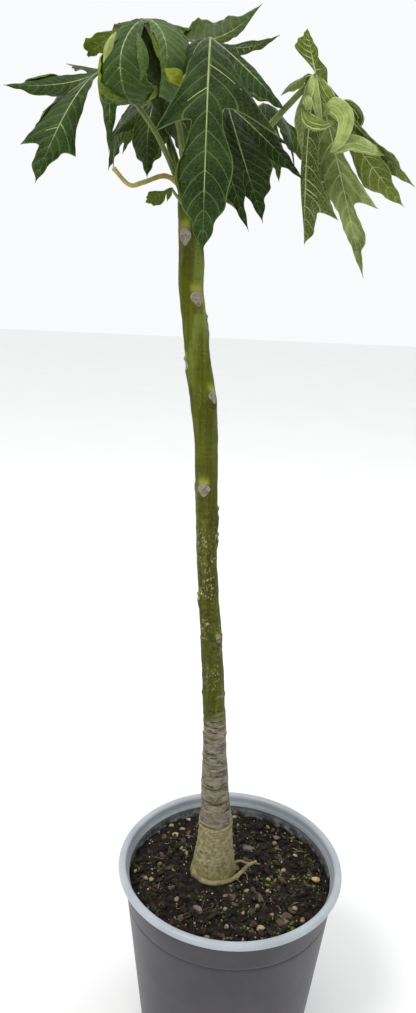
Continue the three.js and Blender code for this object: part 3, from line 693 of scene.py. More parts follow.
def blade_parts(leaf):
    """A blade as a thin shell: its upper face, lower face and rim, laid out flat for its maps."""
    points, tris, maps = [], [], []
    at, shelf, shelves = 0, 0.0, []
    for index, one in enumerate(leaf["lobes"]):
        shelves.append(shelf)
        x = blade_stations(leaf, one)
        halves = {}
        for side in SIDES:
            widest = max(k[1] for k in outline_of(one, side)) * one["length"]
            widest = max(widest * one.get("wide", 1), leaf["web"] * 0.7)
            columns = int(np.clip(math.ceil(widest / FINE_COLUMN), *COLUMNS))
            t = np.linspace(0, 1, columns + 1) ** 0.9
            xx, tt = np.meshgrid(x, t, indexing="ij")
            place, flat, free = blade(leaf, index, side, xx, tt)
            rib = np.stack([xx / vein_spacing(one) - VEIN_ARCH * tt ** 3, tt * free], -1)
            halves[side] = (place, flat, rib)
        sheets = [[np.concatenate([left[:, ::-1], right[:, 1:]], 1)
                   for left, right in zip(halves[1], halves[-1])]]
        sheets += [rolled_margin(leaf, *row[1:]) for row in ROLLS if row[:2] == (leaf["name"], index)]
        low = min(flat[..., 1].min() for _, flat, _ in sheets) - MAP_MARGIN
        high = max(flat[..., 1].max() for _, flat, _ in sheets) + MAP_MARGIN
        for place, flat, rib in sheets:
            rows, columns = place.shape[:2]
            flat = flat + [MAP_MARGIN, shelf - low]
            points.append(place.reshape(-1, 3))
            tris.append(grid_faces(rows, columns) + at)
            maps.append(np.concatenate([flat, rib], -1).reshape(-1, 4))
            at += rows * columns
        shelf += high - low
    points, tris, maps = np.vstack(points), np.vstack(tris), np.vstack(maps)
    leaf["shelves"] = [low / shelf for low in shelves] + [1.0]
    longest = maps[:, 0].max() + MAP_MARGIN
    maps[:, 0] /= 2.04 * longest
    maps[:, 1] /= shelf
    points, welded, keep = weld(points, tris)
    return shell(points, welded, maps[tris[keep]])


def shell(points, welded, corners):
    """A thin closed body on both sides of a sheet: upper face, lower face and rim."""
    normals = vertex_normals(points, welded)
    edges = np.vstack([welded[:, [0, 1]], welded[:, [1, 2]], welded[:, [2, 0]]])
    code = edges[:, 0].astype(np.int64) * len(points) + edges[:, 1]
    back = edges[:, 1].astype(np.int64) * len(points) + edges[:, 0]
    free = ~np.isin(code, back)
    rim, rim_map = edges[free], np.concatenate([corners[:, 0], corners[:, 1], corners[:, 2]])[free]
    thick = np.full(len(points), HALF_THICK)
    thick[rim.ravel()] = RIM_THICK * HALF_THICK
    upper = points + normals * thick[:, None]
    lower = points - normals * thick[:, None]
    under = corners[:, ::-1].copy()
    under[..., 0] += 0.5
    n = len(points)
    wall = np.vstack([np.stack([rim[:, 0], rim[:, 0] + n, rim[:, 1] + n], -1),
                      np.stack([rim[:, 0], rim[:, 1] + n, rim[:, 1]], -1)])
    wall_map = np.tile(np.concatenate([rim_map, rim_map])[:, None], (1, 3, 1))
    both = np.vstack([upper, lower])
    return [(both, welded, 0, corners), (both, welded[:, ::-1] + n, 1, under),
            (both, wall, 2, wall_map)]


LEAF_CREASE = 70                 # edges sharper than this (degrees) stay sharp
VEIN_SIDES, MIDRIB_SIDES = 6, 8
FOLD_COLUMNS = 33
FOLD_FACING = np.array([-0.1, -0.97, 0.2])
LINE_POINTS = 60                 # points along a fold, a root or the bare stalk

# Crumpled lobes that have folded over the leaf: its name, the fold's, points along the fold,
# radius in the middle, how far round it reaches (degrees) and its tone.
FOLDS = [
    ("right_leaf", "main_bulge",
     [(40, -56, 1088), (50, -64, 1095), (61, -70, 1084), (59, -70, 1068), (51, -62, 1057)],
     8.5, 84, "pale"),
    ("right_leaf", "long_bulge",
     [(54, -58, 1058), (67, -62, 1065), (82, -56, 1064), (104, -40, 1060)],
     8.0, 80, "pale"),
    ("right_leaf", "pleat_front", [(32, -60, 1121), (33, -66, 1102), (41, -62, 1079)],
     4.6, 75, "pale"),
    ("right_leaf", "pleat_right", [(34, -58, 1121), (44, -60, 1105), (56, -54, 1092)],
     6.0, 75, "mid"),
    ("right_leaf", "pleat_left", [(30, -62, 1120), (27, -68, 1105), (25, -66, 1089)],
     4.2, 80, "pale"),
    ("right_leaf", "flap", [(22, -68, 1093), (28, -72, 1081), (41, -68, 1078), (54, -56, 1084)],
     6.2, 75, "mid"),
    ("right_leaf", "knob", [(22, -72, 1101), (26, -76, 1094), (25, -72, 1089)],
     4.0, 105, "pale"),
    ("right_leaf", "back_fold", [(57, -42, 1103), (69, -40, 1099), (78, -36, 1091), (76, -38, 1079)],
     6.5, 80, "dark"),
    # inner_fold fills the gap between the top left leaf's lobes with a dark sheet in the shaded tone:
    # painted shade.
    ("top_left_leaf", "inner_fold",
     [(-124, -18, 1168), (-120, -22, 1152), (-117, -24, 1136), (-114, -22, 1120), (-111, -20, 1104),
      (-108, -20, 1088)],
     13.5, 70, "shaded"),
    ("top_left_leaf", "left_margin",
     [(-142, -97, 1138), (-145, -102, 1130), (-148, -106, 1121), (-151, -108, 1112)],
     3.4, 70, "pale"),
    ("top_left_leaf", "right_margin",
     [(-124, -97, 1138), (-120, -109, 1127), (-117, -114, 1115), (-117, -113, 1105), (-121, -109, 1096)],
     4.6, 60, "leafy"),
    ("top_left_leaf", "inner_margin",
     [(-114, -88, 1146), (-107, -101, 1128), (-100, -108, 1114), (-92, -103, 1104)],
     2.8, 75, "mossy"),
    ("top_left_leaf", "tip_fold",
     [(-99, -108, 1109), (-91, -109, 1104), (-83, -109, 1101), (-76, -113, 1107)],
     6.2, 75, "lime"),
    ("top_left_leaf", "bottom_margin",
     [(-156, -100, 1100), (-150, -100, 1092), (-142, -98, 1088), (-131, -97, 1086)],
     4.8, 72, "mossy"),
]
# The folds' colours: dark, light and edge.
FOLD_TONES = {
    "pale": ("66762e", "a3b068", "c0ca92"), "mid": ("4c5c1e", "7e8c44", "aab66e"),
    "dark": ("2c3a0e", "48581e", "6f8040"), "shaded": ("141f06", "26340e", "55662c"),
    "leafy": ("34481a", "4c6030", "7f905a"), "mossy": ("3a4a12", "5c6c26", "8a9a50"),
    "lime": ("4c5a10", "84902a", "a0aa4c"),
}


def fold_parts(points, radius, spread, seed):
    """A folded lobe: a creased sheet that bulges towards the viewer and narrows to both ends."""
    rows, columns = LINE_POINTS, FOLD_COLUMNS
    line = through(points, rows)
    share = np.linspace(0, 1, rows)
    along = unit(np.gradient(line, axis=0))
    out = np.tile(FOLD_FACING, (rows, 1))
    out = unit(out - along * dot(out, along))
    across = np.cross(along, out)
    t = np.linspace(-1, 1, columns)[None]
    size = (radius * np.sin(math.pi * (0.04 + 0.92 * share) ** 0.9) ** 1.1)[:, None]
    width = size * (1 + 0.16 * np.sin(8 * share + seed)[:, None] * np.abs(t) ** 2)
    rise = (0.6 * np.cos(np.radians(spread) * t) + 0.4 * (1 - np.abs(t))
            - 0.1 * hump((t - 0.3) / 0.12) - 0.08 * hump((t + 0.4) / 0.1))
    quilt = (0.03 * np.abs(np.sin(9 * math.pi * (share[:, None] - 0.12 * np.abs(t))))
             * np.sin(math.pi * np.abs(t)))
    edge = 0.12 * np.abs(t) ** 4 * np.sin(17 * share[:, None] + seed + 2 * t)
    place = (line[:, None] + (0.8 * size * (rise + quilt + edge))[..., None] * out[:, None]
             + (width * np.sin(np.radians(spread) * t))[..., None] * across[:, None])
    crumple = waves(place.reshape(-1, 3), 13, 71 + seed).reshape(rows, columns)
    crumple = crumple * np.minimum(size / 6, 1)
    place = place + (0.9 * crumple)[..., None] * out[:, None]
    run = np.linalg.norm(np.diff(line, axis=0), axis=1).sum()
    rib = np.stack([share[:, None] * run / 14 - VEIN_ARCH * np.abs(t) ** 3,
                    np.abs(t) + 0 * share[:, None]], -1)
    flat = np.stack(np.broadcast_arrays(0.02 + 0.46 * share[:, None], 0.5 + 0.46 * t), -1)
    maps = np.concatenate([flat, rib], -1).reshape(-1, 4)
    tris = grid_faces(rows, columns)
    ridges = [place[2:-2, k] + 0.2 * out[2:-2] for k in (5, columns // 2 + 3, columns - 6)]
    return shell(place.reshape(-1, 3), tris, maps[tris]), ridges


def add_folds(vein):
    made = {}
    for tone, (dark, light, edge) in FOLD_TONES.items():
        made[tone] = [fold_material("fold_" + tone, dark, light, edge),
                      fold_material("fold_" + tone + "_inside", "1c280a", "34441a", "5f7038"),
                      fold_material("fold_" + tone + "_edge", light, edge, edge)]
    shapes = []
    for order, (leaf, name, points, radius, spread, tone) in enumerate(FOLDS):
        sheet, ridges = fold_parts(points, radius, spread, order)
        if leaf == "right_leaf":
            thick = 0.5 * np.sin(math.pi * np.linspace(0.06, 0.94, len(ridges[0]))) ** 0.5
            shapes += [tube(line, thick * size, VEIN_SIDES)
                       for line, size in zip(ridges, (1.0, 0.7, 1.0))]
        add_piece(leaf + "_" + name, share_vertices(sheet), made[tone], [leaf], LEAF_CREASE)
    add_plain("right_leaf_fold_margins", shapes, vein, "right_leaf")


def vein_parts(leaf):
    """Raised veins of a blade: a midrib for each lobe and side veins along its ribs."""
    shapes = []
    for index, one in enumerate(leaf["lobes"]):
        length, gap = one["length"], vein_spacing(one)
        x = np.linspace(0, 0.975 * length, max(12, int(length / 4)))
        line = blade(leaf, index, 1, x, np.zeros_like(x))[0]
        beside = blade(leaf, index, 1, x + 0.01, np.full_like(x, 0.02))[0]
        up = np.cross(unit(np.gradient(line, axis=0)), beside - line)
        thick = leaf["vein"] * min(1.0, 0.55 + length / 260)
        radii = lerp(thick, 0.3 * thick, (x / x[-1]) ** 0.8)
        shapes.append(tube(line, radii, MIDRIB_SIDES, 0.75, up))
        for side in SIDES:
            tips = [k[0] * length for k in outline_of(one, side) if len(k) > 2]
            stations = [gap * k for k in range(1, int(0.94 * length / gap) + 1)]
            for station in stations + tips:
                strong = station in tips
                if not strong and any(abs(station - tip) < 0.5 * gap for tip in tips):
                    continue
                t = np.linspace(0, 0.97 if strong else 0.9, 12)
                arch = 0.0 if strong else VEIN_ARCH * gap
                xs = np.minimum(station + arch * t ** 3, 0.985 * length)
                line = blade(leaf, index, side, xs, t)[0]
                run = np.linalg.norm(line[-1] - line[0])
                if run < 2.5:
                    continue
                ahead = blade(leaf, index, side, np.minimum(xs + 0.4, length), t)[0]
                up = np.cross(unit(np.gradient(line, axis=0)), ahead - line) * -side
                size = leaf["vein"] * (0.62 if strong else 0.34 + 0.006 * min(run, 25))
                shapes.append(tube(line, lerp(size, 0.4 * size, t), VEIN_SIDES, 0.7, up))
    return shapes


# ---------------------------------------------------------------- leaf materials

LEAF_GLOSS = (0.8, 0.95, 0.55, 1.0)


def fold_material(name, dark, light, edge):
    s = Shader(name, Specular_IOR_Level=0.16, Specular_Tint=LEAF_GLOSS)
    rib = s.uv("Rib")
    v = s.axis(rib, "Y")
    pleat = s.noise(1.0, 3, 0.6, 0.4, (0.5, 7.0, 1.0), rib)
    # Painted shade: the pleats' valleys take the dark colour and their ridges the light one, after the same
    # pleat noise that makes the bump.
    s.colour = s.mix(s.band(pleat, 0.3, 0.6, 0.45, 1.0), dark, light)
    s.coat(s.band(s.noise(90, 3), 0.4, 0.65, 0.5, 0.0), dark)
    net = s.band(s.cells(330, "DISTANCE_TO_EDGE")["Distance"], 0.0, 0.07, 0.3, 0.0)
    lines = s.most(net, s.band(v, 0.9, 0.97, 0.0, 0.85))
    s.coat(lines, edge)
    normal = s.bump(pleat, 0.0008, 0.5, s.bump(s.noise(500, 3), 0.0003, 0.5))
    return s.finish(s.band(s.noise(60, 3), 0.3, 0.7, 0.4, 0.52), normal)


def blade_material(name, dark, light, vein, rough, halo, net, margin, tones=()):
    s = Shader(name, Specular_IOR_Level=0.16, Specular_Tint=LEAF_GLOSS)
    rib = s.uv("Rib")
    u, v = s.axis(rib, "X"), s.axis(rib, "Y")
    wobble = s.scaled(s.noise(200, 2), 0.1, -0.05)
    between = s.math("PINGPONG", s.plus(u, wobble), 0.5)
    side_vein = s.band(between, 0.012, 0.062, 1.0, 0.0)
    mid_vein = s.band(v, 0.005, 0.06, 1.0, 0.0)
    fine = s.cells(260, "DISTANCE_TO_EDGE")["Distance"]
    finer = s.cells(900, "DISTANCE_TO_EDGE")["Distance"]
    net_line = s.band(fine, 0.0, 0.07, 1.0, 0.0)
    fine_line = s.band(finer, 0.0, 0.12, 1.0, 0.0)
    patches = s.band(s.noise(34, 4), 0.34, 0.66)
    s.colour = s.mix(patches, dark, light)
    for low, high, tone in tones:
        shelf = s.axis(s.uv("OFBake"), "Y")
        inside = s.times(s.math("GREATER_THAN", shelf, low), s.math("LESS_THAN", shelf, high))
        s.coat(s.times(inside, 0.85), tone)
    panel = s.band(between, 0.1, 0.5, 0.0, 0.35)
    s.coat(panel, dark)
    speckle = s.band(s.noise(700, 2), 0.4, 0.7, 0.0, 0.25)
    s.coat(speckle, light)
    lines = s.most(s.times(side_vein, halo), s.times(mid_vein, halo))
    lines = s.most(lines, s.times(net_line, net))
    lines = s.most(lines, s.band(v, 0.945, 0.985, 0.0, margin))
    s.coat(lines, vein)
    height = s.plus(s.times(net_line, -0.5), s.times(fine_line, -0.22))
    height = s.plus(height, s.times(s.noise(420, 3), 0.6))
    roughness = s.band(s.noise(60, 3), 0.3, 0.7, rough - 0.06, rough + 0.08)
    return s.finish(roughness, s.bump(height, 0.0006, 0.7))


def vein_material(name, low, high):
    s = Shader(name, Specular_IOR_Level=0.25, Specular_Tint=LEAF_GLOSS)
    s.colour = s.mix(s.band(s.noise(90, 3), 0.3, 0.7), low, high)
    return s.finish(0.5, s.bump(s.noise(1200, 2), 0.0002, 0.4))


def stalk_material(name, low, high, streak):
    s = Shader(name, Specular_IOR_Level=0.45)
    lengthways = s.noise(900, 3, squeeze=(1.0, 1.0, 0.08))
    s.colour = s.mix(s.band(s.noise(45, 3), 0.3, 0.7), low, high)
    s.coat(s.band(lengthways, 0.5, 0.75, 0.0, 0.55), streak)
    fleck = s.band(s.cells(420)["Distance"], 0.06, 0.12, 0.35, 0.0)
    s.coat(fleck, "a5a676")
    return s.finish(s.band(lengthways, 0.3, 0.7, 0.36, 0.5), s.bump(lengthways, 0.0004, 0.5))


# ---------------------------------------------------------------- pot

RIM_HEIGHT = 240
RIM_RADIUS = 140
RIM_DEPTH = 8
RIM_WIDTH = 10
BASE_RADIUS = 106
WALL_TAPER = 0.115
WALL = 3
FLOOR = 4
GROOVE_HEIGHT = 195
GROOVE_DEPTH = 0.8
LEDGE_HEIGHT = 226
LEDGE_WIDTH = 2.5
DRAIN_HOLES = 8
DRAIN_RADIUS = 7
DRAIN_CIRCLE = 84
DRAIN_SIDES = 32
POT_SIDES = 192


def wall_radius(height):
    return BASE_RADIUS + WALL_TAPER * height


def arc(centre, size, start, end, count):
    angle = np.radians(np.linspace(start, end, count))
    return np.stack([centre[0] + size[0] * np.cos(angle), centre[1] + size[1] * np.sin(angle)], -1)


def lathe(profile):
    """Vertices and triangles of a turned form whose profile starts and ends on the axis."""
    profile = np.array(profile, float)
    angle = np.arange(POT_SIDES) / POT_SIDES * 2 * math.pi
    reach, height = profile[1:-1, None, 0], np.repeat(profile[1:-1, None, 1], POT_SIDES, 1)
    rings = np.stack([reach * np.cos(angle), reach * np.sin(angle), height], -1)
    return closed_rings(rings, [0, 0, profile[0, 1]], [0, 0, profile[-1, 1]])


def pot_profiles():
    """Runs of the pot's section: outside, rim and inside, from axis to axis."""
    foot = RIM_HEIGHT - RIM_DEPTH
    inner = RIM_RADIUS - RIM_WIDTH
    ledge = wall_radius(LEDGE_HEIGHT) - WALL - LEDGE_WIDTH
    groove = wall_radius(GROOVE_HEIGHT)
    outside = [(0, 0), (BASE_RADIUS - 2.2, 0), (BASE_RADIUS - 0.9, 0.35), (BASE_RADIUS - 0.1, 1.4)]
    outside += [(wall_radius(h), h) for h in np.linspace(3, GROOVE_HEIGHT - 1.6, 40)]
    outside += [(groove - 0.5, GROOVE_HEIGHT - 0.7), (groove - GROOVE_DEPTH, GROOVE_HEIGHT),
                (groove - 0.3, GROOVE_HEIGHT + 0.7)]
    outside += [(wall_radius(h) + 0.25, h) for h in np.linspace(GROOVE_HEIGHT + 1.6, foot - 0.8, 12)]
    outside += [(wall_radius(foot) + 1.2, foot)]
    rim = [(RIM_RADIUS - 2.2, foot)]
    rim += list(arc((RIM_RADIUS - 2.2, foot + 2.2), (2.2, 2.2), -90, 0, 6))[1:]
    rim += list(arc((RIM_RADIUS - RIM_WIDTH / 2, RIM_HEIGHT - 5), (RIM_WIDTH / 2, 5), 0, 180, 22))
    rim += [(inner, RIM_HEIGHT - 8), (inner + 0.3, LEDGE_HEIGHT + 2),
            (inner - 0.4, LEDGE_HEIGHT + 0.6)]
    inside = [(ledge + 1, LEDGE_HEIGHT + 0.3), (ledge, LEDGE_HEIGHT - 0.5),
              (ledge + 0.2, LEDGE_HEIGHT - 2.2)]
    inside += [(wall_radius(h) - WALL, h) for h in np.linspace(LEDGE_HEIGHT - 4, FLOOR, 12)]
    inside += [(0, FLOOR)]
    return outside, rim, inside


def add_pot():
    """The pot, with its drain holes cut through its floor."""
    outside, rim, inside = pot_profiles()
    profile = outside + rim + inside
    verts, tris = lathe(profile)
    x, y, height = verts[tris].mean(axis=1).T
    radius = np.hypot(x, y)
    is_rim = (height > RIM_HEIGHT - RIM_DEPTH - 0.01) | (
        (height > LEDGE_HEIGHT) & (radius > RIM_RADIUS - RIM_WIDTH - 1))
    is_inside = (radius < wall_radius(height) - WALL + 0.6) & (height > 1)
    slots = np.where(is_rim, 1, np.where(is_inside, 2, 0))
    parts = share_vertices([(verts, tris[slots == k], k, None) for k in range(3)])
    looks = [pot_material(), rim_material(), inner_material()]
    pot = add_piece("nursery_pot", parts, looks, ["pot"])
    shapes = []
    for k in range(DRAIN_HOLES):
        angle = 2 * math.pi * k / DRAIN_HOLES
        x, y = DRAIN_CIRCLE * math.cos(angle), DRAIN_CIRCLE * math.sin(angle)
        ends = np.array([[x, y, -FLOOR], [x, y, 0.0], [x, y, 2.0 * FLOOR]])
        up = np.tile([0.0, 1.0, 0.0], (3, 1))
        shapes.append(tube(ends, np.full(3, float(DRAIN_RADIUS)), DRAIN_SIDES, up=up))
    points, faces = join(shapes)
    drill = bpy.data.meshes.new("drill")
    drill.from_pydata((points * MM).tolist(), [], faces.tolist())
    cutter = bpy.data.objects.new("drill", drill)
    bpy.context.collection.objects.link(cutter)
    hole = pot.modifiers.new("holes", "BOOLEAN")
    hole.operation, hole.solver, hole.object = "DIFFERENCE", "EXACT", cutter
    view = bpy.context.evaluated_depsgraph_get()
    whole = bpy.data.meshes.new_from_object(pot.evaluated_get(view))
    pot.modifiers.clear()
    pot.data = whole
    bpy.data.objects.remove(cutter)
    whole.shade_smooth()
    whole.set_sharp_from_angle(angle=math.radians(35))


def plastic(name, colour, pale, rough, coat):
    s = Shader(name, Coat_Weight=coat, Coat_Roughness=0.3, Specular_IOR_Level=0.3)
    cloud = s.band(s.noise(14, 4), 0.3, 0.7)
    s.colour = s.mix(cloud, colour, pale)
    down = s.noise(240, 4, squeeze=(1.0, 1.0, 0.12))
    s.coat(s.band(down, 0.5, 0.8, 0.0, 0.3), pale)
    scratch = s.noise(300, 2, distortion=1.5, squeeze=(0.5, 0.5, 3.0))
    scratch = s.times(s.band(scratch, 0.68, 0.74), s.band(s.noise(9, 2), 0.5, 0.65))
    s.coat(s.times(scratch, 0.35), "8a8c92")
    grain = s.noise(2600, 2)
    normal = s.bump(grain, 0.0002, 0.25, s.bump(cloud, 0.0006, 0.3))
    return s, s.band(grain, 0.3, 0.7, rough - 0.05, rough + 0.07), normal


def pot_material():
    s, rough, normal = plastic("pot_wall", "363439", "413f44", 0.4, 0.0)
    splash = s.band(s.noise(30, 5, 0.65), 0.58, 0.75)
    low = s.band(s.axis(s.here, "Z"), 0.0, 0.07, 0.5, 0.0)
    s.coat(s.times(splash, low), "8a8478")
    return s.finish(rough, normal)


def rim_material():
    # Painted reflection: the rim's light blue-grey stands for the bright sky reflected in the glossy rim of
    # the dark grey plastic.
    s, rough, normal = plastic("pot_rim", "9ba1a6", "adb3b8", 0.3, 0.15)
    dirt = s.band(s.noise(70, 5, 0.7), 0.62, 0.75, 0.0, 0.5)
    s.coat(dirt, "6d6a66")
    return s.finish(rough, normal)


def inner_material():
    s, rough, normal = plastic("pot_inside", "767d82", "8a9196", 0.4, 0.05)
    dirt = s.band(s.axis(s.here, "Z"), 0.214, 0.227, 1.0, 0.0)
    dirt = s.times(dirt, s.band(s.noise(90, 5, 0.7), 0.35, 0.6))
    s.coat(dirt, "3a332c")
    return s.finish(rough, normal)


# ---------------------------------------------------------------- soil

SOIL_LEVEL = 212
SOIL_MOUND = 3
SOIL_RADIUS = 126.5
FOOT = (-20, 5)
FOOT_MOUND = 12                  # how far crumbs are heaped against the trunk's foot
MOUND_REACH = 46
GAP = 0.3
SOIL_RINGS, SOIL_SIDES = 90, 260


def soil_height(x, y):
    """Top of the soil, in millimetres, before its lumps."""
    reach = np.hypot(x, y)
    base = lerp(SOIL_LEVEL + SOIL_MOUND, SOIL_LEVEL, smooth((reach - 60) / 70))
    points = np.stack([x, y, np.zeros_like(x)], -1).reshape(-1, 3)
    lumps = 1.6 * waves(points, 60, 11) + 2.2 * waves(points, 19, 12) + 1.1 * waves(points, 7, 13)
    mound = FOOT_MOUND * hump(np.hypot(x - FOOT[0], y - FOOT[1]) / MOUND_REACH)
    return base - 1.0 + lumps.reshape(x.shape) + mound


def soil_top(x, y):
    return float(soil_height(np.array([x]), np.array([y]))[0])


def add_soil():
    rings, sides = SOIL_RINGS, SOIL_SIDES
    radius = SOIL_RADIUS * np.linspace(0.004, 1, rings) ** 0.8
    angle = np.arange(sides) / sides * 2 * math.pi
    x, y = radius[:, None] * np.cos(angle), radius[:, None] * np.sin(angle)
    z = soil_height(x, y)
    grain = np.stack([x, y, 0 * x], -1).reshape(-1, 3)
    z += 0.35 * waves(grain, 2.6, 14).reshape(x.shape)
    top = np.stack([x, y, z], -1).reshape(-1, 3)
    side = np.array([SOIL_LEVEL - 8, 100, FLOOR + GAP])[:, None]
    reach = wall_radius(side) - WALL - GAP
    wall = np.stack([reach * np.cos(angle), reach * np.sin(angle), side + 0 * angle], -1)
    verts = np.vstack([top, wall.reshape(-1, 3), [0, 0, FLOOR + GAP]])
    count = rings + len(side)
    k = np.arange(sides)
    bottom = fan(count * sides, (count - 1) * sides, sides, True)
    middle = np.stack([k[1:-1], k[2:], np.zeros(sides - 2, int)], -1)
    faces = np.vstack([grid_faces(count, sides, closed=True), bottom, middle])[:, ::-1]
    add_plain("potting_mix", [(verts, faces)], soil_material(), "soil")


def soil_material():
    s = Shader("potting_mix", Specular_IOR_Level=0.25)
    crumb = s.cells(330)
    tone = s.axis(crumb["Color"], "X")
    s.colour = s.mix(tone, "0d0a07", "32271f")
    s.coat(s.band(s.noise(55, 4), 0.45, 0.65), "1a1310")
    moss = s.times(s.band(s.noise(32, 4), 0.52, 0.66), s.band(s.noise(420, 3), 0.45, 0.6))
    s.coat(s.times(moss, 0.6), "4c5224")
    pale = s.band(s.cells(520)["Distance"], 0.12, 0.2, 0.5, 0.0)
    pale = s.times(pale, s.band(s.noise(90, 2), 0.55, 0.62))
    s.coat(pale, "a89a80")
    height = s.plus(crumb["Distance"], s.noise(900, 3))
    return s.finish(0.92, s.bump(height, 0.0016, 0.9))


GOLDEN = (1 + 5 ** 0.5) / 2
BALL_CORNERS = np.array([
    [0, 1, GOLDEN], [0, -1, GOLDEN], [0, 1, -GOLDEN], [0, -1, -GOLDEN],
    [1, GOLDEN, 0], [-1, GOLDEN, 0], [1, -GOLDEN, 0], [-1, -GOLDEN, 0],
    [GOLDEN, 0, 1], [GOLDEN, 0, -1], [-GOLDEN, 0, 1], [-GOLDEN, 0, -1]])
BALL_FACES = np.array([
    [0, 1, 8], [0, 10, 1], [0, 8, 4], [0, 4, 5], [0, 5, 10], [3, 2, 9], [3, 9, 6],
    [3, 6, 7], [3, 7, 11], [3, 11, 2], [1, 6, 8], [1, 7, 6], [1, 10, 7], [8, 6, 9],
    [8, 9, 4], [4, 9, 2], [4, 2, 5], [5, 2, 11], [5, 11, 10], [10, 11, 7]])


def lump(centre, size, way, rng, detail=1):
    """A rough little stone or chip: a ball of a few faces, squeezed and knocked about."""
    verts, tris = unit(BALL_CORNERS), BALL_FACES
    for _ in range(detail):
        mids = unit((verts[tris] + verts[tris[:, [1, 2, 0]]]) / 2)
        a, b, c = (len(verts) + np.arange(len(tris) * 3).reshape(-1, 3)).T
        verts = np.vstack([verts, mids.reshape(-1, 3)])
        tris = np.vstack([np.stack(corners, -1) for corners in (
            (tris[:, 0], a, c), (a, tris[:, 1], b), (c, b, tris[:, 2]), (a, b, c))])
    knocks = unit(rng.normal(size=(7, 3)))
    verts = verts * (1 - 0.7 * np.max(np.maximum(verts @ knocks.T - 0.4, 0), axis=1, keepdims=True))
    verts = verts * size
    a, b = way
    ca, sa, cb, sb = math.cos(a), math.sin(a), math.cos(b), math.sin(b)
    tilt = np.array([[1, 0, 0], [0, cb, -sb], [0, sb, cb]])
    turn = np.array([[ca, -sa, 0], [sa, ca, 0], [0, 0, 1]])
    return verts @ (turn @ tilt).T + centre, tris


# Chips on the soil: name, count, least and greatest half length (mm), width and height as shares
# of the length, how deep they sit, and colours.
CHIPS = [
    ("bark_chips", 440, 2.8, 11.0, 0.55, 0.3, 0.25, ("100c09", "281e18", "56463b")),
    ("dark_crumbs", 700, 1.4, 4.6, 0.8, 0.7, 0.2, ("090706", "17110e", "2c231c")),
    ("pale_stones", 70, 1.5, 5.4, 0.8, 0.7, 0.35, ("6b6146", "968b66", "8a7c66")),
    ("perlite", 260, 0.6, 1.9, 0.85, 0.8, 0.2, ("9a967f", "c0bba6", "8d866e")),
    ("moss_tufts", 720, 0.8, 3.4, 0.9, 0.6, 0.35, ("1c2406", "414a16", "737c3a")),
]
STEM_CLEAR = 34                  # chips keep this far from the trunk's axis
CHIP_CREASE = 22
MOSS_PATCH, MOSS_LEAST = 34, 0.22  # moss grows where waves of this scale are above the least
FIBRES = 70
FIBRE_POINTS = 12
FIBRE_SIDES = 5


def from_foot(x, y):
    return np.hypot(x - FOOT[0], y - FOOT[1])


def in_disc(rng, radius):
    """A random place in a disc."""
    reach, angle = radius * math.sqrt(rng.random()), rng.uniform(0, 2 * math.pi)
    return reach * math.cos(angle), reach * math.sin(angle)


def chip_material(name, dark, middle, light):
    s = Shader(name, Specular_IOR_Level=0.3)
    tone = s.axis(s.cells(120)["Color"], "X")
    s.colour = s.mix(s.band(tone, 0.1, 0.5), dark, middle)
    s.coat(s.band(tone, 0.6, 0.95), light)
    grain = s.noise(1400, 3, squeeze=(1.0, 0.35, 1.0))
    s.coat(s.band(grain, 0.5, 0.75, 0.0, 0.5), dark)
    return s.finish(0.85, s.bump(grain, 0.0005, 0.8))


def add_chips():
    for order, (name, count, least, most, wide, tall, sink, colours) in enumerate(CHIPS):
        rng = np.random.default_rng(40 + order)
        shapes = []
        while len(shapes) < count:
            half = least + (most - least) * rng.random() ** 1.8
            x, y = in_disc(rng, SOIL_RADIUS - half - 2)
            if from_foot(x, y) < STEM_CLEAR + half:
                continue
            if name == "moss_tufts" and (
                    rng.random() > 0.5 + 0.004 * x
                    or waves(np.array([[x, y, 0.0]]), MOSS_PATCH, 91)[0] < MOSS_LEAST):
                continue
            size = half * np.array([1, wide * rng.uniform(0.7, 1.2), tall * rng.uniform(0.7, 1.3)])
            z = soil_top(x, y) + size[2] * (1 - 2 * sink) + 0.4
            way = (rng.uniform(0, 2 * math.pi), rng.normal() * 0.35)
            shapes.append(lump(np.array([x, y, z]), size, way, rng, 0 if half < 2 else 1))
        add_plain(name, shapes, chip_material(name, *colours), "soil", CHIP_CREASE)


# Larger pieces that the photograph shows: name, width and height as shares of the length, colours,
# then place and half length of each.
STONES = [
    ("tan_stones", (0.85, 0.65), ("806e46", "a8956a", "bcab82"),
     [(109, -2, 6.6), (-71, 72, 6.0), (-78, 93, 4.8), (78, -56, 5.0), (35, -85, 6.0),
      (-98, -13, 4.2), (70, 12, 4.0)]),
    ("pale_chips", (0.8, 0.6), ("94827a", "baa79e", "cfc0b6"),
     [(-59, 35, 4.4), (-55, 109, 4.6), (-94, 90, 4.0), (88, 40, 3.6)]),
    ("grey_chips", (0.6, 0.3), ("564c4a", "6e6361", "827673"),
     [(25, 50, 11.0), (-40, -62, 7.5), (66, 74, 7.0)]),
]


def add_stones():
    rng = np.random.default_rng(58)
    for name, (wide, tall), colours, places in STONES:
        shapes = []
        for x, y, half in places:
            size = half * np.array([1.0, wide, tall])
            place = np.array([x, y, soil_top(x, y) + 0.5 * size[2] + 1.0])
            way = (rng.uniform(-0.5, 0.5), rng.normal() * 0.2)
            shapes.append(lump(place, size, way, rng))
        add_plain(name, shapes, chip_material(name, *colours), "soil", CHIP_CREASE)


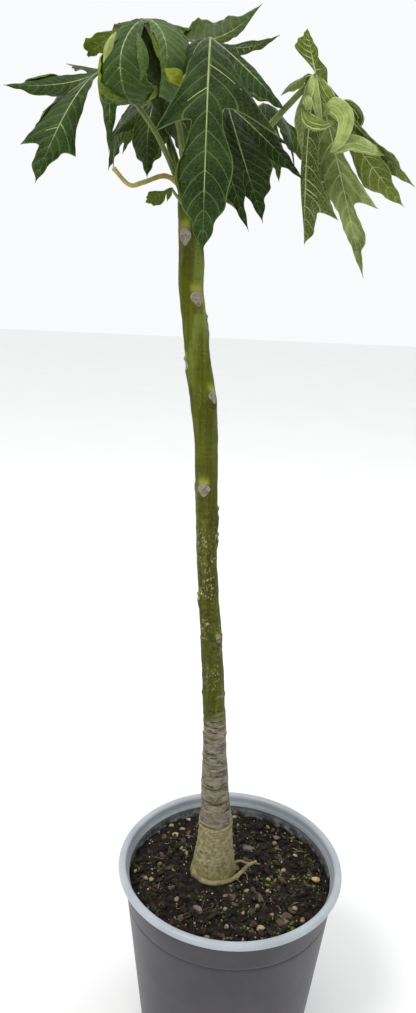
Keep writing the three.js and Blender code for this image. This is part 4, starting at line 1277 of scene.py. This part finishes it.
def add_fibres():
    """Thin dead roots and straws lying on the soil."""
    rng = np.random.default_rng(77)
    shapes = []
    while len(shapes) < FIBRES:
        x, y = in_disc(rng, SOIL_RADIUS - 14)
        if from_foot(x, y) < STEM_CLEAR + 6:
            continue
        length, turn, bend = rng.uniform(7, 24), rng.uniform(0, 2 * math.pi), rng.normal() * 0.05
        s = np.linspace(0, length, FIBRE_POINTS)
        course = turn + bend * s
        px = x + np.cumsum(np.cos(course)) * length / FIBRE_POINTS
        py = y + np.cumsum(np.sin(course)) * length / FIBRE_POINTS
        if np.any(np.hypot(px, py) > SOIL_RADIUS - 2) or np.any(from_foot(px, py) < STEM_CLEAR):
            continue
        lift = 1.2 + 1.6 * np.sin(s / length * math.pi) * rng.random()
        points = np.stack([px, py, soil_height(px, py) + lift], -1)
        thick = rng.uniform(0.25, 0.55)
        shapes.append(tube(points, lerp(thick, 0.5 * thick, s / length), FIBRE_SIDES))
    material = chip_material("fibre", "5b4a38", "8a7657", "b3a27c")
    add_plain("soil_fibres", shapes, material, "soil")


# ---------------------------------------------------------------- trunk

TRUNK_Y = 5
# Height, place along x and thickness of the trunk.
TRUNK_STATIONS = [
    (222, -21, 55), (241, -20, 50), (258, -20, 45), (282, -20, 42), (322, -22, 35), (360, -25, 32),
    (399, -26, 28), (473, -31, 26), (543, -37, 24.5), (625, -45, 23), (705, -49, 24.5), (770, -52, 25),
    (819, -57, 29), (858, -64, 26.5), (936, -75, 26), (959, -75, 27), (989, -77, 24), (1017, -81, 20),
    (1030, -83, 16), (1038, -84, 7)]
# Root flare: compass angle, reach from the axis and height of each root.
ROOTS = [(8, 37, 8), (118, 36, 12), (204, 34, 8), (300, 33, 8)]
ROOT_SHARPNESS = 9
TRUNK_FOOT = SOIL_LEVEL + SOIL_MOUND + GAP
TRUNK_AROUND = 112
TRUNK_STEP = 1.5

# Leaf scars that show at the front: height, compass angle, half width, half height.
FRONT_SCARS = [
    (981, 246, 6.6, 9.0),
    (921, 296, 7.6, 8.4),
    (852, 190, 6.5, 8.5),
    (821, 318, 6.0, 7.5),
    (719, 258, 7.4, 7.6),
    (662, 352, 4.5, 5.0),
    (590, 196, 5.0, 5.0),
    (541, 312, 4.2, 4.6),
]
# Rings round the trunk: height, tilt across it, how far it stands out.
RINGS = [(541, 1.5, 0.8), (468, -1.0, 1.0), (443, 2.0, 0.5), (430, -1.5, 0.4), (414, 0.8, 0.9),
         (386, 0.6, 0.4), (371, -0.8, 0.5), (347, 0.7, 0.4), (328, -0.5, 0.4), (295, 0.5, 1.1),
         (289, 0.5, 0.9)]
GREEN_FROM = 432
SCAR_SPIRAL, SCAR_STEP = 137.5, 26  # turn and rise from one leaf scar to the next at the back


def trunk_centre(height):
    """Smoothed centreline and radius of the trunk at heights."""
    table = np.array(TRUNK_STATIONS, float)
    spread = np.array([-9, -4.5, 0, 4.5, 9])
    h = np.clip(height[..., None] + spread, table[0, 0], table[-1, 0])
    x = np.interp(h, table[:, 0], table[:, 1]).mean(-1)
    radius = np.interp(h, table[:, 0], table[:, 2]).mean(-1) / 2
    tip = height > table[-3, 0]
    radius = np.where(tip, np.interp(height, table[:, 0], table[:, 2]) / 2, radius)
    return x, radius


def back_scars():
    """Leaf scars of the sides that the photograph hides, on the spiral that a papaya's leaves follow."""
    scars = []
    height, angle = 560.0, 40.0
    while height < 985:
        angle = (angle + SCAR_SPIRAL) % 360
        height += SCAR_STEP
        if 20 < (angle + 180) % 360 < 340 and not 185 < angle < 355:
            scars.append((height, angle, 6.2, 7.4))
    return scars


def around(a, b):
    """Signed difference of two angles, in radians."""
    return (a - b + math.pi) % (2 * math.pi) - math.pi


def trunk_shape():
    """Grid of the trunk's surface with its relief, and how much scar, pale, dark and ledge it has."""
    heights = np.arange(TRUNK_FOOT, TRUNK_STATIONS[-1][0] - 0.1, TRUNK_STEP)
    angle = np.arange(TRUNK_AROUND) / TRUNK_AROUND * 2 * math.pi
    h, a = np.meshgrid(heights, angle, indexing="ij")
    x, radius = trunk_centre(h)
    rise = h - TRUNK_FOOT
    reach = radius.copy()
    for toward, length, tall in ROOTS:
        facing = np.maximum(0, np.cos(a - math.radians(toward))) ** ROOT_SHARPNESS
        reach += (length - radius) * facing * hump(rise / tall)
    green = smooth((h - GREEN_FROM) / 60)
    cos, sin = np.cos(a), np.sin(a)
    column = np.stack([cos * 30, sin * 30, h * 0.12], -1).reshape(-1, 3)
    skin = np.stack([cos * radius, sin * radius, h], -1).reshape(-1, 3)
    ridges, bumps, fine = (waves(*row).reshape(h.shape) for row in (
        (column, 22, 21), (skin, 34, 22), (skin * [1, 1, 2.5], 6, 23)))
    reach += 0.42 * green * ridges + 0.4 * bumps + lerp(0.16, 0.07, green) * fine
    scar = pale = dark = ledge = np.zeros_like(h)
    for height, facing, wide, tall in FRONT_SCARS + back_scars():
        du = around(a, math.radians(facing)) * radius / wide
        aside = np.abs(du)
        dv = (h - height) / tall
        narrow = 1 - 0.5 * smooth(0.2 - dv)
        far = np.sqrt((du / narrow) ** 2 + dv ** 2)
        plate = smooth((1.08 - far) / 0.2)
        shelf = hump((h - height - 0.9 * tall) / (0.35 * tall)) * smooth(1.3 - aside)
        below = hump((h - height + 1.4 * tall) / (1.1 * tall)) * smooth(1.4 - aside)
        reach += 1.0 * plate * (1 - 0.35 * smooth(1 - far)) + 1.5 * shelf + 1.3 * below
        scar = np.maximum(scar, plate)
        pale = np.maximum(pale, 0.55 * smooth((far - 0.7) / 0.14) * smooth((0.98 - far) / 0.1))
        pale = np.maximum(pale, 0.8 * shelf * smooth(1.1 - aside))
        above = hump((h - height - 1.35 * tall) / (0.5 * tall)) * smooth(1.5 - 1.3 * aside)
        ledge = np.maximum(ledge, above)
        # Painted shadow: the bark just below each leaf scar is darkened, as shade under the scar's raised
        # shelf.
        shade = hump((h - height + 1.25 * tall) / (0.5 * tall)) * smooth(1.4 - 1.2 * aside)
        dark = np.maximum(dark, 0.3 * shade)
    for height, tilt, out in RINGS:
        line = (h - height - tilt * np.cos(a + 0.6) - 0.4 * np.sin(5 * a)) / 1.3
        reach += out * hump(line)
        broken = smooth(0.3 + 0.9 * np.sin(2 * a + height))
        pale = np.maximum(pale, 0.6 * hump((line - 0.6) / 0.7) * broken)
        broken = smooth(0.7 + 0.9 * np.sin(a + 2 * height))
        dark = np.maximum(dark, 0.85 * hump((line + 1.0) / 0.9) * broken)
    end = smooth((TRUNK_STATIONS[-1][0] - h) / 10)
    reach = np.maximum(reach * lerp(0.35, 1, end), 0.5)
    points = np.stack([x + cos * reach, TRUNK_Y + sin * reach, h], -1)
    return points, {"scar": scar, "pale": pale, "dark": dark, "ledge": ledge}


def add_trunk():
    points, marks = trunk_shape()
    shape = closed_rings(points, points[0].mean(0), points[-1].mean(0) + [0, 0, 1.5])
    piece = add_plain("stem", [shape], trunk_material(), "trunk")
    for name, values in marks.items():
        layer = piece.data.attributes.new(name, "FLOAT", "POINT")
        layer.data.foreach_set("value", np.concatenate([values.ravel(), [0, 0]]).astype(np.float32))


def trunk_material():
    s = Shader("stem", Specular_IOR_Level=0.12, Specular_Tint=(0.95, 0.95, 0.5, 1.0))
    height = s.axis(s.here, "Z")
    broad = s.noise(26, 4)
    lengthways = s.noise(200, 4, squeeze=(1.0, 1.0, 0.05))
    green = s.mix(s.band(height, 0.5, 0.98), "3e420f", "484d0a")
    green = s.mix(s.band(lengthways, 0.42, 0.66, 0.0, 0.5), green, "5f6618")
    green = s.mix(s.band(broad, 0.48, 0.72, 0.0, 0.6), green, "30340a")
    # Painted shade: the top of the stem darkens under the crown, which shades it.
    green = s.mix(s.band(height, 0.93, 1.0, 0.0, 0.5), green, "1e260a")
    strip = s.band(s.noise(62, 2, squeeze=(1.0, 1.0, 0.15)), 0.48, 0.62)
    strip = s.times(strip, s.band(height, 0.8, 0.9, 0.15, 0.75))
    green = s.mix(strip, green, "6e7a38")
    green = s.mix(s.times(s.attribute("ledge"), 0.75), green, "8b9434")
    patch = s.times(s.band(height, 0.4, 0.6, 1.0, 0.25), s.band(s.noise(75, 4), 0.45, 0.7))
    green = s.mix(s.times(patch, 0.75), green, "3d3b20")
    dash = s.noise(430, 3, 0.6, 0.25, squeeze=(0.15, 0.15, 1.5))
    dark_dash = s.band(dash, 0.58, 0.62)
    crack = s.times(s.band(dash, 0.62, 0.66), s.band(height, 0.66, 0.44, 0.25, 1.0))
    green = s.mix(crack, green, "2a1a10")
    bark = s.mix(s.band(s.noise(120, 4, squeeze=(1.0, 1.0, 1.8)), 0.35, 0.65), "5a5245", "827a6c")
    wrinkle = s.noise(700, 3, squeeze=(0.4, 0.4, 3.0))
    bark = s.mix(s.band(wrinkle, 0.5, 0.7, 0.0, 0.5), bark, "9a9282")
    bark = s.mix(s.times(dark_dash, 0.9), bark, "231c16")
    khaki = s.mix(s.band(s.noise(190, 5, 0.7), 0.38, 0.62), "746d4c", "9d9672")
    grain = s.band(s.cells(900)["Distance"], 0.1, 0.3, 0.6, 0.0)
    khaki = s.mix(grain, khaki, "b8b290")
    khaki = s.mix(s.times(dark_dash, 0.35), khaki, "4a4528")
    khaki = s.mix(s.band(height, 0.214, 0.245, 0.65, 0.0), khaki, "66602e")
    jag = s.scaled(s.noise(60, 4), 0.06, -0.03)
    level = s.plus(height, jag)
    s.colour = s.mix(s.band(level, 0.425, 0.45), bark, green)
    small = s.scaled(s.noise(160, 2), 0.004, -0.002)
    s.colour = s.mix(s.band(s.plus(height, small), 0.2905, 0.2925), khaki, s.colour)
    zone = s.times(s.band(height, 0.45, 0.53), s.band(height, 0.72, 0.68))
    blotch = s.times(s.band(s.noise(150, 4, 0.65), 0.46, 0.6), zone)
    s.coat(s.times(blotch, 0.6), "2b3212")
    worn = s.band(s.noise(48, 3, squeeze=(1.0, 1.0, 0.5)), 0.49, 0.58)
    peak = s.times(s.band(height, 0.6, 0.63), s.band(height, 0.69, 0.66))
    worn = s.most(worn, s.times(peak, s.band(s.noise(75, 2), 0.42, 0.55)))
    cork = s.band(s.noise(230, 4, 0.7, squeeze=(1.0, 1.0, 0.6)), 0.52, 0.6)
    cork = s.times(s.times(cork, worn), zone)
    s.coat(s.times(cork, 0.7), "5c4e34")
    fleck = s.band(s.noise(420, 4, 0.7, squeeze=(1.0, 1.0, 0.6)), 0.56, 0.62)
    fleck = s.times(fleck, s.scaled(worn, 0.85, 0.15))
    s.coat(s.times(fleck, s.scaled(zone, 0.75, 0.12)), "a7a47e")
    scar = s.attribute("scar")
    grey = s.mix(s.band(s.noise(300, 4), 0.35, 0.65), "6f685e", "938c80")
    grey = s.mix(s.band(s.noise(900, 3), 0.55, 0.7, 0.0, 0.6), grey, "4a4238")
    s.coat(s.band(scar, 0.0, 0.35), "352c18")
    s.coat(s.band(scar, 0.45, 0.75), grey)
    s.coat(s.attribute("pale"), "948e62")
    # Painted shadow below the leaf scars, with dark lines just under the rings.
    s.coat(s.attribute("dark"), "22170e")
    relief = s.plus(s.times(dark_dash, -0.9), s.noise(500, 4))
    normal = s.bump(lengthways, 0.0012, 0.5, s.bump(relief, 0.0006, 0.6))
    return s.finish(s.band(broad, 0.3, 0.7, 0.45, 0.6), normal)


ROOT_SIDES = 14
# Roots that run out over the soil from the foot: points, and radius at the foot and at the end.
SURFACE_ROOTS = [
    ([(-38, 16, 226), (-45, 0, 226), (-42, -15, 225), (-31, -24, 224), (-18, -26, 224), (-4, -23, 224),
      (8, -15, 225), (17, -4, 226), (26, 7, 226), (34, 14, 224)], 4.0, 2.2),
    ([(6, 8, 228), (14, 11, 227), (23, 9, 226), (31, 11, 224), (40, 15, 221)], 1.8, 0.9),
]


def add_roots():
    shapes = []
    for points, thick, thin in SURFACE_ROOTS:
        line = through(points, LINE_POINTS)
        line += wander(line, 14, (31, 32, 33), (0.4, 0.4, 0.2))
        radii = lerp(thick, thin, np.linspace(0, 1, LINE_POINTS)) * (1 + 0.12 * waves(line, 5, 34))
        shapes.append(tube(line, radii, ROOT_SIDES))
    add_plain("surface_roots", shapes, root_material(), "trunk")


def root_material():
    s = Shader("surface_root", Specular_IOR_Level=0.3)
    s.colour = s.mix(s.band(s.noise(130, 4), 0.35, 0.65), "6a6240", "8f8763")
    s.coat(s.band(s.noise(600, 3), 0.55, 0.75, 0.0, 0.7), "5a5238")
    return s.finish(0.75, s.bump(s.noise(700, 4), 0.0006, 0.7))


# ---------------------------------------------------------------- stalks

BLADE_THICKNESS = 2.3
STALK_TAPER = 0.75
STALK_SIDES = 20
BARE_STALK = [(-76, 5, 1012), (-90, -4, 1030), (-104, -10, 1037), (-124, -20, 1029), (-137, -25, 1026),
              (-152, -30, 1040)]
BARE_STALK_RADIUS = 2.6


def stalk_line(leaf):
    stalk = leaf["stalk"]
    heights, places, _ = zip(*TRUNK_STATIONS)
    x = float(np.interp(stalk["height"], heights, places))
    start = np.array([x, TRUNK_Y, stalk["height"]])
    under = direction(leaf["lean"][0], leaf["lean"][1] - 90) * -(BLADE_THICKNESS / 2 - 0.5)
    end = np.array(leaf["centre"], float) + under
    bend = lerp(start, end, stalk["bend"])
    bend[2] = lerp(start[2], end[2], stalk["rise"])
    s = np.linspace(0, 1, 48)[:, None]
    return (1 - s) ** 2 * start + 2 * s * (1 - s) * bend + s ** 2 * end


def add_stalk(leaf, material):
    line = stalk_line(leaf)
    share = np.linspace(0, 1, len(line))
    radii = leaf["stalk"]["radius"] * lerp(1.0, STALK_TAPER, share)
    radii *= 1 + 0.3 * hump((share - 0.08) / 0.07) + 0.12 * smooth((share - 0.93) / 0.07)
    line = line + wander(line, 30, (51, 52, 51), (0.25, 0.25, 0))
    name = leaf["name"]
    shape = tube(line, radii, STALK_SIDES)
    add_plain(name + "_petiole", [shape], material, name + "_stalk")


def add_bare_stalk():
    line = through(BARE_STALK, LINE_POINTS)
    share = np.linspace(0, 1, LINE_POINTS)
    radii = BARE_STALK_RADIUS * lerp(1.1, STALK_TAPER, share) * (1 + 0.05 * waves(line, 9, 61))
    radii = radii * (1 + 0.35 * hump((share - 0.985) / 0.02))
    material = stalk_material("bare_petiole", "8f8140", "ac9f5c", "6e6330")
    add_plain("bare_petiole", [tube(line, radii, STALK_SIDES)], material, "bare_stalk")


# ---------------------------------------------------------------- leaves

BACK_DRESS = (0.9, "14220f", "26381a", "28380e", "42521a")
# How each leaf looks: seed, vein radius (mm), upper dark and light, under dark and light.
DRESS = {
    "front_leaf": (3, 1.1, "132408", "2b401c", "344610", "52641c"),
    "top_left_leaf": (5, 1.1, "22350f", "465a2a", "465612", "7c8a28"),
    "far_left_leaf": (8, 1.05, "182a08", "30461a", "38480f", "5a6a20"),
    # Painted shade: the inner right leaf's greens are darker than the other leaves' as it lies in the shade
    # of the crown.
    "inner_right_leaf": (11, 0.85, "0d1a06", "1d2f0e", "2a380c", "40501a"),
    "inner_left_leaf": (13, 0.85, "1c2904", "37460a", "2c3a08", "465616"),
    "right_leaf": (17, 1.1, "3c4a0e", "646f14", "4e5c1c", "93a060"),
    "small_leaf": (19, 0.6, "363e0e", "545e1e", "3c460e", "5a641e"),
    "back_left_leaf": (23, *BACK_DRESS),
    "back_leaf": (29, *BACK_DRESS),
    "back_right_leaf": (31, *BACK_DRESS),
    "young_leaf": (37, 0.6, "1d2d10", "35481c", "32420f", "50602a"),
}

# Lobes that differ from the rest of their leaf: its name and face, and each lobe's colour.
LOBE_TONES = {
    # Painted shade: lobe 4 of the right leaf's underside is dark olive as it hangs in shadow.
    ("right_leaf", "lower"): {0: "525a0a", 1: "55622a", 2: "66701a", 4: "2c360a"},
    ("top_left_leaf", "upper"): {1: "4a5610", 3: "2c4218", 4: "54683a", 5: "3a4810", 6: "3c4a0e",
                                 7: "3a4810"},
    ("top_left_leaf", "lower"): {6: "36460c"},
    # Painted shade: the front leaf's lobes 0, 1 and 4 take darker greens, as shade near the top of the
    # leaf.
    ("front_leaf", "upper"): {0: "1c2c0c", 1: "1a2a0c", 4: "26320a"},
    ("front_leaf", "lower"): {4: "26320a"},
}


def lobe_tones(leaf, face):
    """Where each odd lobe of a face lies on its map, and its colour."""
    odd = LOBE_TONES.get((leaf["name"], face), {})
    return [(*leaf["shelves"][k:k + 2], tone) for k, tone in odd.items()]


def add_leaf(leaf, vein):
    name = leaf["name"]
    seed, thick, dark, light, under_dark, under_light = DRESS[name]
    leaf["seed"], leaf["vein"] = seed, thick
    for one in leaf["lobes"]:
        one["curve"] = lobe_curve(leaf, one)
    parts = share_vertices(blade_parts(leaf))
    pale = name == "right_leaf"
    looks = [
        blade_material(name + "_upper", dark, light, "7c8e55", 0.36, 0.4, 0.16, 0.5,
                       lobe_tones(leaf, "upper")),
        blade_material(name + "_lower", under_dark, under_light, "b4be84" if pale else "8f9c50",
                       0.5, 0.6 if pale else 0.35, 0.3, 0.4, lobe_tones(leaf, "lower")),
        blade_material(name + "_edge", under_light, under_light, "9aa65c", 0.5, 0.1, 0.1, 0.05)]
    add_piece(name + "_blade", parts, looks, [name], LEAF_CREASE)
    add_plain(name + "_veins", vein_parts(leaf), vein, name)


# ---------------------------------------------------------------- floor and lights

FLOOR_REACH = 14.0               # metres


def add_floor():
    far = FLOOR_REACH
    corners = [(-far, -far, 0), (far, -far, 0), (far, far, 0), (-far, far, 0)]
    mesh = bpy.data.meshes.new("floor")
    mesh.from_pydata(corners, [], [(0, 1, 2, 3)])
    floor = bpy.data.objects.new("floor", mesh)
    bpy.context.collection.objects.link(floor)
    s = Shader("floor", Specular_IOR_Level=0.2)
    s.colour = s.mix(s.noise(3, 2), "f1f1f0", "f6f6f5")
    mesh.materials.append(s.finish(0.8))


def add_light(name, place, target, size, power, colour):
    data = bpy.data.lights.new(name, "AREA")
    data.shape, data.size, data.energy, data.color = "DISK", size, power, colour
    light = bpy.data.objects.new(name, data)
    light.location = place
    light.rotation_euler = (Vector(target) - Vector(place)).to_track_quat("-Z", "Y").to_euler()
    bpy.context.collection.objects.link(light)


def add_lights():
    world = bpy.data.worlds.new("studio")
    world.use_nodes = True
    sky = world.node_tree.nodes["Background"]
    sky.inputs["Color"].default_value = (0.98, 0.99, 1.0, 1.0)
    sky.inputs["Strength"].default_value = 0.97
    bpy.context.scene.world = world
    add_light("key", (-2.0, -1.6, 4.4), (-0.05, 0, 0.8), 1.7, 95, (1.0, 0.99, 0.97))
    add_light("fill", (2.4, 1.4, 3.2), (-0.05, 0, 0.9), 1.8, 20, (0.95, 0.98, 1.0))
    view = bpy.context.scene.view_settings
    view.view_transform, view.look = "Standard", "None"


# ---------------------------------------------------------------- the whole

add_camera()
add_floor()
add_lights()
add_pot()
add_soil()
add_chips()
add_stones()
add_fibres()
add_trunk()
add_roots()
add_bare_stalk()

leaves = LEAVES + [back_leaf(*row) for row in BACK_LEAVES]
petiole = stalk_material("petiole", "4c5a1c", "6c7a32", "85904c")
vein = vein_material("vein", "84945c", "aab882")
pale_vein = vein_material("pale_vein", "aab47a", "c8d09e")
for leaf in leaves:
    add_stalk(leaf, petiole)
    add_leaf(leaf, pale_vein if leaf["name"] == "right_leaf" else vein)

add_folds(pale_vein)
